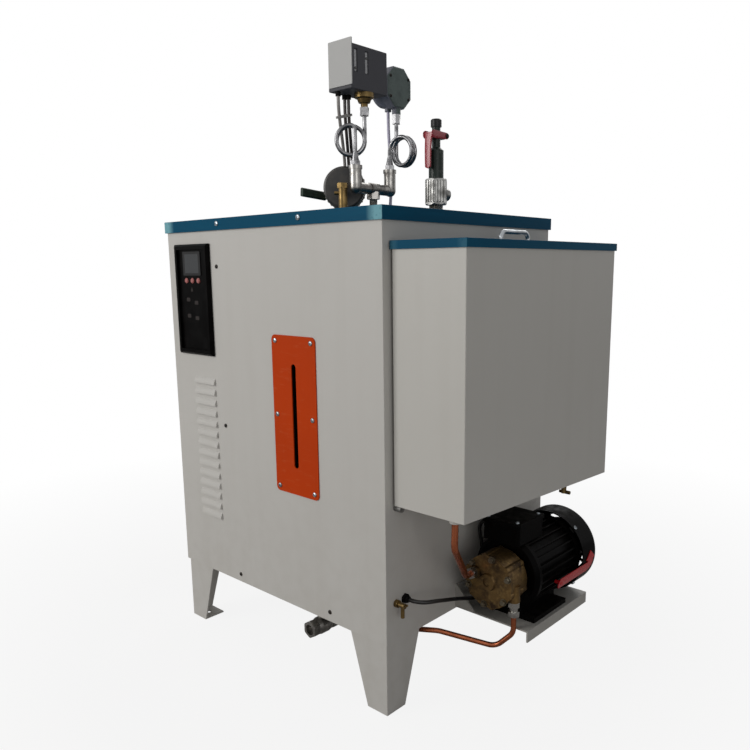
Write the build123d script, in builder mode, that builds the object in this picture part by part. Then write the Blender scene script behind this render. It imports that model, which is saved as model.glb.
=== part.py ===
from build123d import *
from math import cos, pi, radians, sin, tan
import os

# Electric steam generator: a sheet-metal cabinet on four legs, a feed-water
# tank hung on its right wall, a feed pump on a shelf below the tank, and the
# steam fittings on the lid. Millimetres. The origin is the centre of the
# cabinet's footprint on the floor, the front is towards -Y and the tank is
# on the +X side.

# Cabinet
CABINET_WIDTH = 630
CABINET_DEPTH = 515
LEG_HEIGHT = 140
BODY_HEIGHT = 760
SHEET = 1.5
BASE_THICKNESS = 3
LID_RIM = 23
LID_OVERHANG = 4
EDGE_RADIUS = 1.2
LEG_INSET = 4
LEG_TOP_WIDTH = 91
LEG_FOOT_WIDTH = 49
LEG_SHEET = 3
ANCHOR_HOLE_RADIUS = 6

# Louvres in the front panel
LOUVRE_COUNT = 14
LOUVRE_WIDTH = 72
LOUVRE_PITCH = 22.6
LOUVRE_HEIGHT = 13
LOUVRE_PROUD = 5
LOUVRE_SHEET = 1.2
LOUVRE_INSET = 113
LOUVRE_X = LOUVRE_INSET - CABINET_WIDTH / 2
LOUVRE_LOW = 268

# Control panel: a bevelled frame round a sunk face
CONTROL_INSET = 92.5
CONTROL_X = CONTROL_INSET - CABINET_WIDTH / 2
CONTROL_Z = 737.5
CONTROL_WIDTH = 121
CONTROL_HEIGHT = 229
CONTROL_PROUD = 9
CONTROL_BEVEL = 4
CONTROL_BORDER = 11
CONTROL_SUNK = 5
DISPLAY_RISE = 75
DISPLAY_WIDTH = 63
DISPLAY_HEIGHT = 49
DISPLAY_PROUD = 1.5
LAMP_RADIUS = 5.5
LAMP_PROUD = 3
LAMP_RISE = 40
LAMP_PITCH = 21.5

# Level gauge: a slotted plate, and the glass in its channel behind it
SIGHT_X = 88
SIGHT_Z = 526.5
SIGHT_WIDTH = 122
SIGHT_HEIGHT = 305
SIGHT_THICKNESS = 2
SIGHT_CORNER = 10
SLOT_WIDTH = 13
SLOT_LENGTH = 200
SLOT_MARGIN = 3
CHANNEL_WIDTH = 60
CHANNEL_HEIGHT = 280
CHANNEL_DEPTH = 34
GLASS_RADIUS = 6
GLASS_WALL = 1.5
GLASS_END_HEIGHT = 24
GLASS_END_WIDTH = 22

# Feed-water tank on the right wall
TANK_STANDOFF = 5
TANK_WIDTH = 150
TANK_DEPTH = 490
TANK_SHIFT = 4.5
TANK_HEIGHT = 445
TANK_FLOOR_FALL = 19
TANK_BELOW_LID = 57
TANK_WALL = 2
TANK_EDGE = 1.8
TANK_LID_RIM = 14
TANK_LID_GAP = 1.5
RAIL_HEIGHT = 30
RAIL_LENGTH = 430
RAIL_DROPS = (60, 360)
HANDLE_SPAN = 95
HANDLE_RISE = 21.5
HANDLE_RADIUS = 4
HANDLE_BEND = 12
HANDLE_FOOT_RADIUS = 9
HANDLE_FOOT_HEIGHT = 2
COCK_INSET = 8
COCK_BACK = 333
COCK_RADIUS = 5
COCK_DROP = 15
STUD_RADIUS = 6
STUD_LENGTH = 16
STUD_BACK = 9

# Pump set on its shelf, shaft parallel to the right wall
SHAFT_OUT = 96
SHAFT_HEIGHT = 86
SHELF_RISE = 6
SHELF_SHEET = 3
SHELF_FRONT = -58
SHELF_BACK = 165
SHELF_REACH = 166
SHELF_UPSTAND = 44
SHELF_LIP = 22
SHELF_GUSSET = 46
MOTOR_FRONT = -26
MOTOR_LENGTH = 157.5
MOTOR_CORE_RADIUS = 63
FIN_TIP_RADIUS = 71
FIN_THICKNESS = 2.6
FIN_COUNT = 28
END_SHIELD_LENGTH = 14
MOTOR_FOOT_WIDTH = 124
MOTOR_FOOT_THICKNESS = 9
MOTOR_FOOT_FRONT = 3
MOTOR_FOOT_LENGTH = 118
MOTOR_STAND_WIDTH = 70
COWL_RADIUS = 82
COWL_LENGTH = 51
COWL_SHEET = 2
COWL_CORNER = 11
COWL_LUG_WIDTH = 12
GRILLE_INNER = 14
GRILLE_SLOT = 7
GRILLE_LAND = 6
GRILLE_ROWS = 4
GRILLE_SPOKE = 6
FAN_RADIUS = 64
FAN_HUB_RADIUS = 18
FAN_DEPTH = 20
FAN_BLADES = 7
FAN_BLADE_SHEET = 2.5
FAN_SHAFT_RADIUS = 9
BOX_WIDTH = 84
BOX_LENGTH = 92
BOX_HEIGHT = 42
BOX_LID = 8
BOX_CORNER = 6
BOX_SHIFT = -3
BOX_BACK = 26
PUMP_RADIUS = 53.5
PUMP_CASE_LENGTH = 44
PUMP_COVER_THICKNESS = 9
PUMP_LANTERN_RADIUS = 42
PUMP_LANTERN_LENGTH = 6.5
PUMP_BOSS_RADIUS = 17
PUMP_BOSS_PROUD = 4
PUMP_LUG_RADIUS = 8
PUMP_LUG_COUNT = 6
INLET_LEFT = 29
INLET_UP = 13
INLET_RADIUS = 12
INLET_BOSS = 6
INLET_NUT_HEX = 19
INLET_NUT_LENGTH = 10
OUTLET_RIGHT = 44
OUTLET_DROP = 32
OUTLET_BOSS_RADIUS = 11
CHECK_VALVE_LENGTH = 28
CHECK_VALVE_HEX = 20
CHECK_VALVE_WAIST = 7.5
CHECK_NUT_LENGTH = 10
CHECK_SPOT_RADIUS = 12

# Rotation arrow on the motor's side
ARROW_SHEET = 1.5
ARROW_BAND = 21
ARROW_TAIL = 31
ARROW_BEND = 142
ARROW_DROP = 22
ARROW_NECK = 5
ARROW_HEAD = 17
ARROW_BARB = 7
ARROW_RIVET_RADIUS = 3.5

# Copper pipes of the feed line
SUCTION_RADIUS = 6
SUCTION_SOCKET_RADIUS = 10
SUCTION_SOCKET_LENGTH = 18
SUCTION_OUT = 105
SUCTION_BACK = 60
SUCTION_BEND_DROP = 64
SUCTION_BENDS = (26, 20)
DISCHARGE_RADIUS = 5
DISCHARGE_BENDS = (24, 26, 40, 12)

# Fittings on the right wall
TAP_BACK = 25
TAP_Z = 214
TAP_RADIUS = 6
TAP_REACH = 22
TAP_DROP = 23
WALL_GLAND_BACK = 49
WALL_GLAND_Z = 215
GLAND_HEX = 17
GLAND_NUT = 4
GLAND_RADIUS = 7
GLAND_LENGTH = 7

# Ball valves
VALVE_BORE_RADIUS = 10.3
VALVE_BODY_RADIUS = 17
VALVE_HEX = 30
VALVE_HEX_LENGTH = 15
VALVE_LENGTH = 66
VALVE_THREAD_DEPTH = 14
VALVE_BOSS_RADIUS = 8.5
VALVE_STEM_RADIUS = 4
VALVE_STEM_DEPTH = 9
RUNNING_CLEARANCE = 0.05
THREAD_CLEARANCE = 0.1
SPIGOT_LENGTH = 8
LEVER_THICKNESS = 3
STEM_NUT_HEX = 10
STEM_NUT_LENGTH = 2.5

# Drain valve under the front of the cabinet, lying along Y
DRAIN_X = 122
DRAIN_DROP = 29
DRAIN_PROUD = 12
DRAIN_BOSS_REACH = 18
DRAIN_LEVER_LONG = 50
DRAIN_LEVER_SHORT = 26
DRAIN_LEVER_WIDTH = 12
DRAIN_ELBOW_RADIUS = 14
DRAIN_ELBOW_REACH = 20

# Steam valve on the lid, standing upright with its stem towards -X
STEAM_X = -35
STEAM_Y = 17.5
STEAM_NIPPLE = 19
STEAM_BOSS_REACH = 24
STEAM_STEM_REACH = 33
STEAM_HUB_RADIUS = 9
STEAM_LEVER_LENGTH = 96
STEAM_LEVER_WIDTH = 13
STEAM_LEVER_TILT = 4
STEAM_LEVER_JOGGLE = 9
STEAM_JOGGLE_START = 14
STEAM_JOGGLE_END = 30
STEAM_GRIP_LENGTH = 66
STEAM_GRIP_HEIGHT = 18
STEAM_GRIP_THICKNESS = 8

# Manifold and the two siphons
MANIFOLD_X = 69
MANIFOLD_Y = -17.5
MANIFOLD_SPAN = 100
MANIFOLD_RISE = 58
MANIFOLD_RADIUS = 10.5
ELBOW_RADIUS = 12
ELBOW_RISE = 42
ELBOW_BAND = 7
ELBOW_BAND_PROUD = 1.5
TEE_HEX = 24
TEE_DROP = 20
NIPPLE_HEX = 22
SIPHON_TUBE_RADIUS = 4
SIPHON_RING_RADIUS = 27.5
UNION_HEX = 17
UNION_HEIGHT = 9
UNION_CONE = 16
LEFT_RING_RISE = 148
LEFT_PITCH = 9
LEFT_STEM_ACROSS = 9
LEFT_CURL_RADIUS = 8.6
LEFT_JOINT = 0.56
RIGHT_RING_RISE = 135
RIGHT_PITCH = 11
SIPHON_NUT_HEX = 16
LEFT_NUT_TOP = 211
LEFT_NUT_HEIGHT = 16
RIGHT_NUT_TOP = 212
RIGHT_NUT_HEIGHT = 19

# Pressure controllers
CONTROL_BOX_X = 57.5
CONTROL_BOX_Y = -44.5
CONTROL_BOX_WIDTH = 63
CONTROL_BOX_LENGTH = 100
CONTROL_BOX_HEIGHT = 80
CONTROL_BOX_RISE = 237
WINDOW_WIDTH = 9
WINDOW_HEIGHT = 42
WINDOW_SUNK = 2
WINDOW_STEPS = (12.5, 42.5)
WINDOW_TOP_GAP = 8
SIDE_PLATE_SHEET = 2
SIDE_PLATE_RISE = 9
SIDE_PLATE_SHIFT = 3
SIDE_PLATE_HEIGHT = 83
BELLOWS_RADIUS = 19
BELLOWS_HEIGHT = 18
BELLOWS_NECK_RADIUS = 7
OCTAGON_FACE_X = 80
OCTAGON_Y = 53
OCTAGON_RISE = 262
OCTAGON_WIDTH = 73
OCTAGON_HEIGHT = 79
OCTAGON_CHAMFER = 21
OCTAGON_COVER_DEPTH = 22
OCTAGON_CASE_RADIUS = 34
OCTAGON_CASE_DEPTH = 30
OCTAGON_NECK_RADIUS = 9
OCTAGON_GLAND_LENGTH = 14

# Pressure gauge, its dial away from the front right corner
GAUGE_RADIUS = 42
GAUGE_DEPTH = 35
GAUGE_RISE = 62
GAUGE_ACROSS = -85
GAUGE_BACK = 0
GAUGE_BEZEL_PROUD = 2.5
GAUGE_BEZEL_DEPTH = 9
GAUGE_TEETH = 30
GAUGE_DIAL_SUNK = 4
GAUGE_STEM_REACH = 32
GAUGE_STEM_DROP = 14
GAUGE_STEM_RADIUS = 6
GAUGE_ELBOW_RADIUS = 9
GAUGE_ELBOW_HEX = 20
GAUGE_PLUG_HEIGHT = 10
GAUGE_STUB_LENGTH = 17
GAUGE_STUB_RADIUS = 3.5

# Safety valve
SAFETY_X = 164
SAFETY_Y = 67.5
SAFETY_NIPPLE_RADIUS = 14
SAFETY_NIPPLE_HEIGHT = 26
SAFETY_HEX = 41
SAFETY_BODY_HEIGHT = 51
SAFETY_BONNET_RADIUS = 15
SAFETY_BONNET_HEIGHT = 61
SAFETY_NECK_RADIUS = 8.5
SAFETY_NECK_HEIGHT = 39
SAFETY_CAP_RADIUS = 11
SAFETY_CAP_HEIGHT = 15
SAFETY_OUTLET_REACH = 33
SAFETY_OUTLET_RADIUS = 13
SAFETY_OUTLET_BORE = 9.2
SAFETY_OUTLET_DEPTH = 14
SAFETY_OUTLET_RISE = 22
SAFETY_PIVOT_RISE = 23
SAFETY_PIVOT_REACH = 20
SAFETY_PIN_RADIUS = 2.5
SAFETY_LUG_WIDTH = 8
SAFETY_LUG_RADIUS = 6
SAFETY_FORK_GAP = 32
SAFETY_FORK_SHEET = 3.5
SAFETY_FORK_HEIGHT = 13
SAFETY_HANDLE_REACH = 23
SAFETY_HANDLE_WIDTH = 12
SAFETY_HANDLE_SHEET = 4
SAFETY_HANDLE_DROP = 66
SAFETY_HANDLE_LEAN = 3

# Cables: the controllers' down to the lid, and the motor's from wall to box
CABLE_RADIUS = 3.25
CABLE_STEP = 7.4
PUMP_CABLE_RADIUS = 3.75
GROMMET_HEIGHT = 6
GROMMET_MARGIN = 3
ENTRY_HEIGHT = 8
ENTRY_MARGIN = 2

# The gauge and the left siphon stand across a diagonal of the cabinet
DIAGONAL = 41.63
ACROSS = Vector(cos(radians(DIAGONAL)), sin(radians(DIAGONAL)), 0)
AWAY = Vector(-sin(radians(DIAGONAL)), cos(radians(DIAGONAL)), 0)
GROUP_CENTRE = Vector(88, -0.5, 0)
UP = Vector(0, 0, 1)
DOWN = Vector(0, 0, -1)

# Places that follow from the sizes above
half_width = CABINET_WIDTH / 2
half_depth = CABINET_DEPTH / 2
front_face = -half_depth
lid_top = LEG_HEIGHT + BODY_HEIGHT
wall_top = lid_top - SHEET
tank_left = half_width + TANK_STANDOFF
tank_right = tank_left + TANK_WIDTH
tank_front = TANK_SHIFT - TANK_DEPTH / 2
tank_back = TANK_SHIFT + TANK_DEPTH / 2
tank_top = lid_top - TANK_BELOW_LID
tank_floor = tank_top - TANK_HEIGHT
tank_lid_top = tank_top + SHEET
shelf_top = LEG_HEIGHT + SHELF_RISE
shaft_x = half_width + SHAFT_OUT
shaft_z = shelf_top + SHAFT_HEIGHT
motor_back = MOTOR_FRONT + MOTOR_LENGTH
pump_case_back = MOTOR_FRONT - PUMP_LANTERN_LENGTH
pump_case_front = pump_case_back - PUMP_CASE_LENGTH
pump_front = pump_case_front - PUMP_COVER_THICKNESS


def tank_floor_at(y):
    """Height of the tank floor's underside at a place along the tank."""
    return tank_floor - TANK_FLOOR_FALL * (y - tank_front) / TANK_DEPTH


def on_diagonal(across, away, height):
    """A point given by its place across and away along the diagonal."""
    return GROUP_CENTRE + ACROSS * across + AWAY * away + UP * height


def block(low, high):
    """A box between two opposite corners."""
    middle = [(a + b) / 2 for a, b in zip(low, high)]
    size = [b - a for a, b in zip(low, high)]
    with BuildPart() as shape:
        with Locations(tuple(middle)):
            Box(*size)
    return shape.part


def rod(start, direction, radius, length):
    """A round bar from a start point along a direction."""
    with BuildPart() as shape:
        with BuildSketch(Plane(origin=start, z_dir=direction)):
            Circle(radius)
        extrude(amount=length)
    return shape.part


def turned(start, direction, outline):
    """A turned part: its outline gives (radius, height) pairs from the axis."""
    with BuildPart() as shape:
        with BuildSketch(Plane.XZ):
            with BuildLine():
                Polyline(*outline, close=True)
            make_face()
        revolve(axis=Axis.Z)
    return Plane(origin=start, z_dir=direction).location * shape.part


def hex_bar(start, direction, across_flats, length, edge=1):
    """A hexagonal bar whose end corners are turned off, as on a nut."""
    corner = across_flats / 2 / cos(pi / 6)
    barrel = [(0, 0), (corner - edge, 0), (corner, edge), (corner, length - edge)]
    barrel += [(corner - edge, length), (0, length)]
    with BuildPart() as shape:
        with BuildSketch(Plane(origin=start, z_dir=direction)):
            RegularPolygon(across_flats / 2, 6, major_radius=False)
        extrude(amount=length)
        add(turned(start, direction, barrel), mode=Mode.INTERSECT)
    return shape.part


def tube_along(route, radii, tube_radius):
    """A round tube along straight runs joined by tangent arcs."""
    with BuildPart() as shape:
        with BuildLine() as path:
            FilletPolyline(*route, radius=radii)
        with BuildSketch(Plane(origin=path.line @ 0, z_dir=path.line % 0)):
            Circle(tube_radius)
        sweep(path=path.line)
    return shape.part


def easy_radii(route, name):
    """Bend radii of a cable: 0.45 of the shorter run over tan of half the turn."""
    points = [Vector(*point) for point in route]
    radii = []
    for before, corner, after in zip(points, points[1:], points[2:]):
        turn = (corner - before).get_angle(after - corner)
        shorter = min((corner - before).length, (after - corner).length)
        radii.append(0.45 * shorter / tan(radians(turn) / 2))
    print(name, "bend radii", [round(radius, 1) for radius in radii])
    return radii


def write(shape, name):
    """Label a finished piece and write it under its own name."""
    shape.label = name
    export_step(shape, f"parts/{name}.step")


os.makedirs("parts", exist_ok=True)

# A pressed louvre: a curved hood, open below, over a slot in the sheet
with BuildPart() as louvre_hood:
    with BuildSketch(Plane.YZ):
        with BuildLine():
            Line((0, 0), (-LOUVRE_PROUD, 0))
            ThreePointArc((-LOUVRE_PROUD, 0), (-0.78 * LOUVRE_PROUD, LOUVRE_HEIGHT / 2),
                          (0, LOUVRE_HEIGHT))
            Line((0, LOUVRE_HEIGHT), (0, 0))
        make_face()
    extrude(amount=LOUVRE_WIDTH / 2, both=True)
hollow_proud = LOUVRE_PROUD - LOUVRE_SHEET
hollow_height = LOUVRE_HEIGHT - 2 * LOUVRE_SHEET
with BuildPart() as louvre_hollow:
    with BuildSketch(Plane.YZ):
        with BuildLine():
            Line((SHEET, 0), (-hollow_proud, 0))
            ThreePointArc((-hollow_proud, 0), (-0.78 * hollow_proud, hollow_height / 2),
                          (0, hollow_height))
            Polyline((0, hollow_height), (SHEET, hollow_height), (SHEET, 0))
        make_face()
    extrude(amount=LOUVRE_WIDTH / 2 - LOUVRE_SHEET, both=True)

# Front panel: bent sheet with a column of louvres and the sight slot
with BuildPart() as front_panel:
    add(block((-half_width, front_face, LEG_HEIGHT), (half_width, front_face + SHEET, wall_top)))
    fillet(front_panel.edges().filter_by(Axis.Z).group_by(Axis.Y)[0], EDGE_RADIUS)
    for row in range(LOUVRE_COUNT):
        with Locations((LOUVRE_X, front_face, LOUVRE_LOW + row * LOUVRE_PITCH)):
            add(louvre_hood.part)
            add(louvre_hollow.part, mode=Mode.SUBTRACT)
    with BuildSketch(Plane.XZ.offset(half_depth)):
        with Locations((SIGHT_X, SIGHT_Z)):
            SlotOverall(SLOT_LENGTH + 2 * SLOT_MARGIN, SLOT_WIDTH + 2 * SLOT_MARGIN, rotation=90)
    extrude(amount=-SHEET, mode=Mode.SUBTRACT)
write(front_panel.part, "front_panel")

# Back panel, and the two side panels between front and back
with BuildPart() as back_panel:
    add(block((-half_width, half_depth - SHEET, LEG_HEIGHT), (half_width, half_depth, wall_top)))
    fillet(back_panel.edges().filter_by(Axis.Z).group_by(Axis.Y)[-1], EDGE_RADIUS)
write(back_panel.part, "back_panel")
side_reach = half_depth - SHEET
write(block((half_width - SHEET, -side_reach, LEG_HEIGHT), (half_width, side_reach, wall_top)),
      "right_panel")
write(block((-half_width, -side_reach, LEG_HEIGHT), (SHEET - half_width, side_reach, wall_top)),
      "left_panel")

# Base pan between the panels, which the legs are welded to
pan_x = half_width - SHEET
write(block((-pan_x, -side_reach, LEG_HEIGHT), (pan_x, side_reach, LEG_HEIGHT + BASE_THICKNESS)),
      "base_pan")

# Lid: a folded tray turned over, its rim standing off the panels
lid_x = half_width + LID_OVERHANG
lid_y = half_depth + LID_OVERHANG
with BuildPart() as cabinet_lid:
    add(block((-lid_x, -lid_y, lid_top - LID_RIM), (lid_x, lid_y, lid_top)))
    fillet(cabinet_lid.edges().filter_by(Axis.Z), EDGE_RADIUS)
    fillet(cabinet_lid.faces().sort_by(Axis.Z)[-1].edges(), EDGE_RADIUS)
    add(block((SHEET - lid_x, SHEET - lid_y, lid_top - LID_RIM), (lid_x - SHEET, lid_y - SHEET, wall_top)),
        mode=Mode.SUBTRACT)
write(cabinet_lid.part, "cabinet_lid")

# Legs: folded angle, tapering to a drilled foot plate
leg_x = half_width - LEG_INSET
leg_y = half_depth - LEG_INSET
anchor_x = leg_x - LEG_FOOT_WIDTH / 2
anchor_y = leg_y - LEG_FOOT_WIDTH / 2
with BuildPart() as rear_right_leg:
    with BuildSketch(Plane.XZ.offset(-leg_y)):
        Polygon((leg_x, 0), (leg_x, LEG_HEIGHT), (leg_x - LEG_TOP_WIDTH, LEG_HEIGHT),
                (leg_x - LEG_FOOT_WIDTH, 0), align=None)
    extrude(amount=LEG_SHEET)
    with BuildSketch(Plane.YZ.offset(leg_x)):
        Polygon((leg_y, 0), (leg_y, LEG_HEIGHT), (leg_y - LEG_TOP_WIDTH, LEG_HEIGHT),
                (leg_y - LEG_FOOT_WIDTH, 0), align=None)
    extrude(amount=-LEG_SHEET)
    add(block((leg_x - LEG_FOOT_WIDTH, leg_y - LEG_FOOT_WIDTH, 0), (leg_x, leg_y, LEG_SHEET)))
    fillet(rear_right_leg.edges().filter_by(Axis.Z).sort_by(Axis((0, 0, 0), (1, 1, 0)))[-1], EDGE_RADIUS)
    with Locations((anchor_x, anchor_y, LEG_SHEET)):
        Hole(ANCHOR_HOLE_RADIUS, depth=LEG_SHEET)
with BuildPart() as rear_left_leg:
    mirror(rear_right_leg.part, about=Plane.YZ)
with BuildPart() as front_right_leg:
    mirror(rear_right_leg.part, about=Plane.XZ)
with BuildPart() as front_left_leg:
    mirror(rear_left_leg.part, about=Plane.XZ)
write(rear_right_leg.part, "rear_right_leg")
write(rear_left_leg.part, "rear_left_leg")
write(front_right_leg.part, "front_right_leg")
write(front_left_leg.part, "front_left_leg")

# Control panel: moulded frame, its display window and three signal lamps
control_face = front_face - CONTROL_PROUD + CONTROL_SUNK
with BuildPart() as control_panel:
    with BuildSketch(Plane.XZ.offset(half_depth)):
        with Locations((CONTROL_X, CONTROL_Z)):
            Rectangle(CONTROL_WIDTH, CONTROL_HEIGHT)
    extrude(amount=CONTROL_PROUD)
    chamfer(control_panel.faces().sort_by(Axis.Y)[0].edges(), CONTROL_BEVEL)
    with BuildSketch(Plane.XZ.offset(half_depth + CONTROL_PROUD)):
        with Locations((CONTROL_X, CONTROL_Z)):
            RectangleRounded(CONTROL_WIDTH - 2 * CONTROL_BORDER, CONTROL_HEIGHT - 2 * CONTROL_BORDER, 2)
    extrude(amount=-CONTROL_SUNK, mode=Mode.SUBTRACT)
write(control_panel.part, "control_panel")
with BuildPart() as display_window:
    with BuildSketch(Plane.XZ.offset(-control_face)):
        with Locations((CONTROL_X, CONTROL_Z + DISPLAY_RISE)):
            RectangleRounded(DISPLAY_WIDTH, DISPLAY_HEIGHT, 2)
    extrude(amount=DISPLAY_PROUD)
write(display_window.part, "display_window")
with BuildPart() as panel_lamps:
    for place in (-LAMP_PITCH, 0, LAMP_PITCH):
        lamp_outline = [(0, 0), (LAMP_RADIUS, 0), (LAMP_RADIUS, LAMP_PROUD / 2),
                        (0.7 * LAMP_RADIUS, LAMP_PROUD), (0, LAMP_PROUD)]
        lamp_start = (CONTROL_X + place, control_face, CONTROL_Z + LAMP_RISE)
        add(turned(lamp_start, (0, -1, 0), lamp_outline))
write(panel_lamps.part, "panel_lamps")

# Sight plate, with the channel and the level glass behind the slot
with BuildPart() as sight_plate:
    with BuildSketch(Plane.XZ.offset(half_depth)):
        with Locations((SIGHT_X, SIGHT_Z)):
            RectangleRounded(SIGHT_WIDTH, SIGHT_HEIGHT, SIGHT_CORNER)
            SlotOverall(SLOT_LENGTH, SLOT_WIDTH, rotation=90, mode=Mode.SUBTRACT)
    extrude(amount=SIGHT_THICKNESS)
write(sight_plate.part, "sight_plate")
channel_front = front_face + SHEET
channel_back = channel_front + CHANNEL_DEPTH
channel_low = SIGHT_Z - CHANNEL_HEIGHT / 2
channel_high = SIGHT_Z + CHANNEL_HEIGHT / 2
glass_low = channel_low + SHEET + GLASS_END_HEIGHT
glass_high = channel_high - SHEET - GLASS_END_HEIGHT
glass_y = (channel_front + channel_back) / 2
with BuildPart() as level_channel:
    add(block((SIGHT_X - CHANNEL_WIDTH / 2, channel_front, channel_low),
              (SIGHT_X + CHANNEL_WIDTH / 2, channel_back, channel_high)))
    add(block((SIGHT_X - CHANNEL_WIDTH / 2 + SHEET, channel_front, channel_low + SHEET),
              (SIGHT_X + CHANNEL_WIDTH / 2 - SHEET, channel_back - SHEET, channel_high - SHEET)),
        mode=Mode.SUBTRACT)
    for end_low in (channel_low + SHEET, glass_high):
        add(block((SIGHT_X - GLASS_END_WIDTH / 2, glass_y - GLASS_END_WIDTH / 2, end_low),
                  (SIGHT_X + GLASS_END_WIDTH / 2, channel_back - SHEET, end_low + GLASS_END_HEIGHT)))
write(level_channel.part, "level_channel")
with BuildPart() as level_glass:
    add(rod((SIGHT_X, glass_y, glass_low), UP, GLASS_RADIUS, glass_high - glass_low))
    add(rod((SIGHT_X, glass_y, glass_low), UP, GLASS_RADIUS - GLASS_WALL, glass_high - glass_low),
        mode=Mode.SUBTRACT)
write(level_glass.part, "level_glass")

# Feed-water tank: welded sheet, its floor falling to the drain cock, with a
# socket for the suction pipe
floor_normal = Vector(0, -TANK_FLOOR_FALL / TANK_DEPTH, -1).normalized()
suction_x = half_width + SUCTION_OUT
suction_y = front_face + SUCTION_BACK
suction_start = Vector(suction_x, suction_y, tank_floor_at(suction_y))
with BuildPart() as water_tank:
    with BuildSketch(Plane.YZ.offset(tank_left)):
        Polygon((tank_front, tank_floor), (tank_back, tank_floor - TANK_FLOOR_FALL),
                (tank_back, tank_top), (tank_front, tank_top), align=None)
    extrude(amount=TANK_WIDTH)
    fillet(water_tank.edges().filter_by(Axis.Z), TANK_EDGE)
    with BuildSketch(Plane.YZ.offset(tank_left + TANK_WALL)):
        Polygon((tank_front + TANK_WALL, tank_floor + TANK_WALL),
                (tank_back - TANK_WALL, tank_floor - TANK_FLOOR_FALL + TANK_WALL),
                (tank_back - TANK_WALL, tank_top), (tank_front + TANK_WALL, tank_top), align=None)
    extrude(amount=TANK_WIDTH - 2 * TANK_WALL, mode=Mode.SUBTRACT)
    add(rod(suction_start, floor_normal, SUCTION_SOCKET_RADIUS, SUCTION_SOCKET_LENGTH))
write(water_tank.part, "water_tank")

# Tank lid and its pull handle
lid_reach = SHEET + TANK_LID_GAP
tank_middle_x = (tank_left + tank_right) / 2
with BuildPart() as tank_lid:
    add(block((tank_left - lid_reach, tank_front - lid_reach, tank_lid_top - TANK_LID_RIM),
              (tank_right + lid_reach, tank_back + lid_reach, tank_lid_top)))
    fillet(tank_lid.edges().filter_by(Axis.Z), EDGE_RADIUS)
    fillet(tank_lid.faces().sort_by(Axis.Z)[-1].edges(), EDGE_RADIUS)
    add(block((tank_left - TANK_LID_GAP, tank_front - TANK_LID_GAP, tank_lid_top - TANK_LID_RIM),
              (tank_right + TANK_LID_GAP, tank_back + TANK_LID_GAP, tank_top)), mode=Mode.SUBTRACT)
write(tank_lid.part, "tank_lid")
handle_base = tank_lid_top + HANDLE_FOOT_HEIGHT
handle_line = tank_lid_top + HANDLE_RISE - HANDLE_RADIUS
handle_front = TANK_SHIFT - HANDLE_SPAN / 2 + HANDLE_RADIUS
handle_back = TANK_SHIFT + HANDLE_SPAN / 2 - HANDLE_RADIUS
handle_route = [(tank_middle_x, handle_front, handle_base), (tank_middle_x, handle_front, handle_line),
                (tank_middle_x, handle_back, handle_line), (tank_middle_x, handle_back, handle_base)]
with BuildPart() as tank_handle:
    add(tube_along(handle_route, [HANDLE_BEND, HANDLE_BEND], HANDLE_RADIUS))
    for foot_y in (handle_front, handle_back):
        add(rod((tank_middle_x, foot_y, tank_lid_top), UP, HANDLE_FOOT_RADIUS, HANDLE_FOOT_HEIGHT))
write(tank_handle.part, "tank_handle")

# Hanging rails between tank and wall, and the stud that the tank rests on
with BuildPart() as tank_hangers:
    for drop in RAIL_DROPS:
        rail_z = tank_top - drop
        add(block((half_width, TANK_SHIFT - RAIL_LENGTH / 2, rail_z - RAIL_HEIGHT / 2),
                  (tank_left, TANK_SHIFT + RAIL_LENGTH / 2, rail_z + RAIL_HEIGHT / 2)))
    stud_y = tank_front + STUD_BACK
    stud_z = tank_floor_at(stud_y + STUD_RADIUS) - STUD_RADIUS - 0.1
    add(rod((half_width, stud_y, stud_z), (1, 0, 0), STUD_RADIUS, STUD_LENGTH))
write(tank_hangers.part, "tank_hangers")

# Drain cock under the tank's low end
cock_start = Vector(tank_right - COCK_INSET, tank_front + COCK_BACK, tank_floor_at(tank_front + COCK_BACK))
with BuildPart() as tank_drain_cock:
    add(rod(cock_start, floor_normal, COCK_RADIUS, COCK_DROP))
    add(rod(cock_start + DOWN * (COCK_DROP - COCK_RADIUS / 2), (1, 0, 0), COCK_RADIUS * 0.7, 13))
    add(rod(cock_start + DOWN * (COCK_DROP - COCK_RADIUS / 2), (-1, 0, 0), COCK_RADIUS * 0.6, 9))
write(tank_drain_cock.part, "tank_drain_cock")

# Pump shelf: a bracket of folded sheet with an upstand, a front lip and gussets
with BuildPart() as pump_shelf:
    with BuildSketch(Plane.XZ.offset(-SHELF_FRONT)):
        shelf_low = shelf_top - SHELF_SHEET
        shelf_right = half_width + SHELF_REACH
        Polygon((half_width, shelf_low), (shelf_right - SHELF_SHEET, shelf_low),
                (shelf_right - SHELF_SHEET, shelf_top - SHELF_LIP), (shelf_right, shelf_top - SHELF_LIP),
                (shelf_right, shelf_top), (half_width + SHELF_SHEET, shelf_top),
                (half_width + SHELF_SHEET, shelf_top + SHELF_UPSTAND),
                (half_width, shelf_top + SHELF_UPSTAND), align=None)
    extrude(amount=SHELF_FRONT - SHELF_BACK)
    for gusset_y in (SHELF_FRONT, SHELF_BACK - SHELF_SHEET):
        with BuildSketch(Plane.XZ.offset(-gusset_y)):
            Polygon((half_width + SHELF_SHEET, shelf_top), (half_width + SHELF_GUSSET, shelf_top),
                    (half_width + SHELF_SHEET, shelf_top + SHELF_UPSTAND), align=None)
        extrude(amount=-SHELF_SHEET)
write(pump_shelf.part, "pump_shelf")

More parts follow.
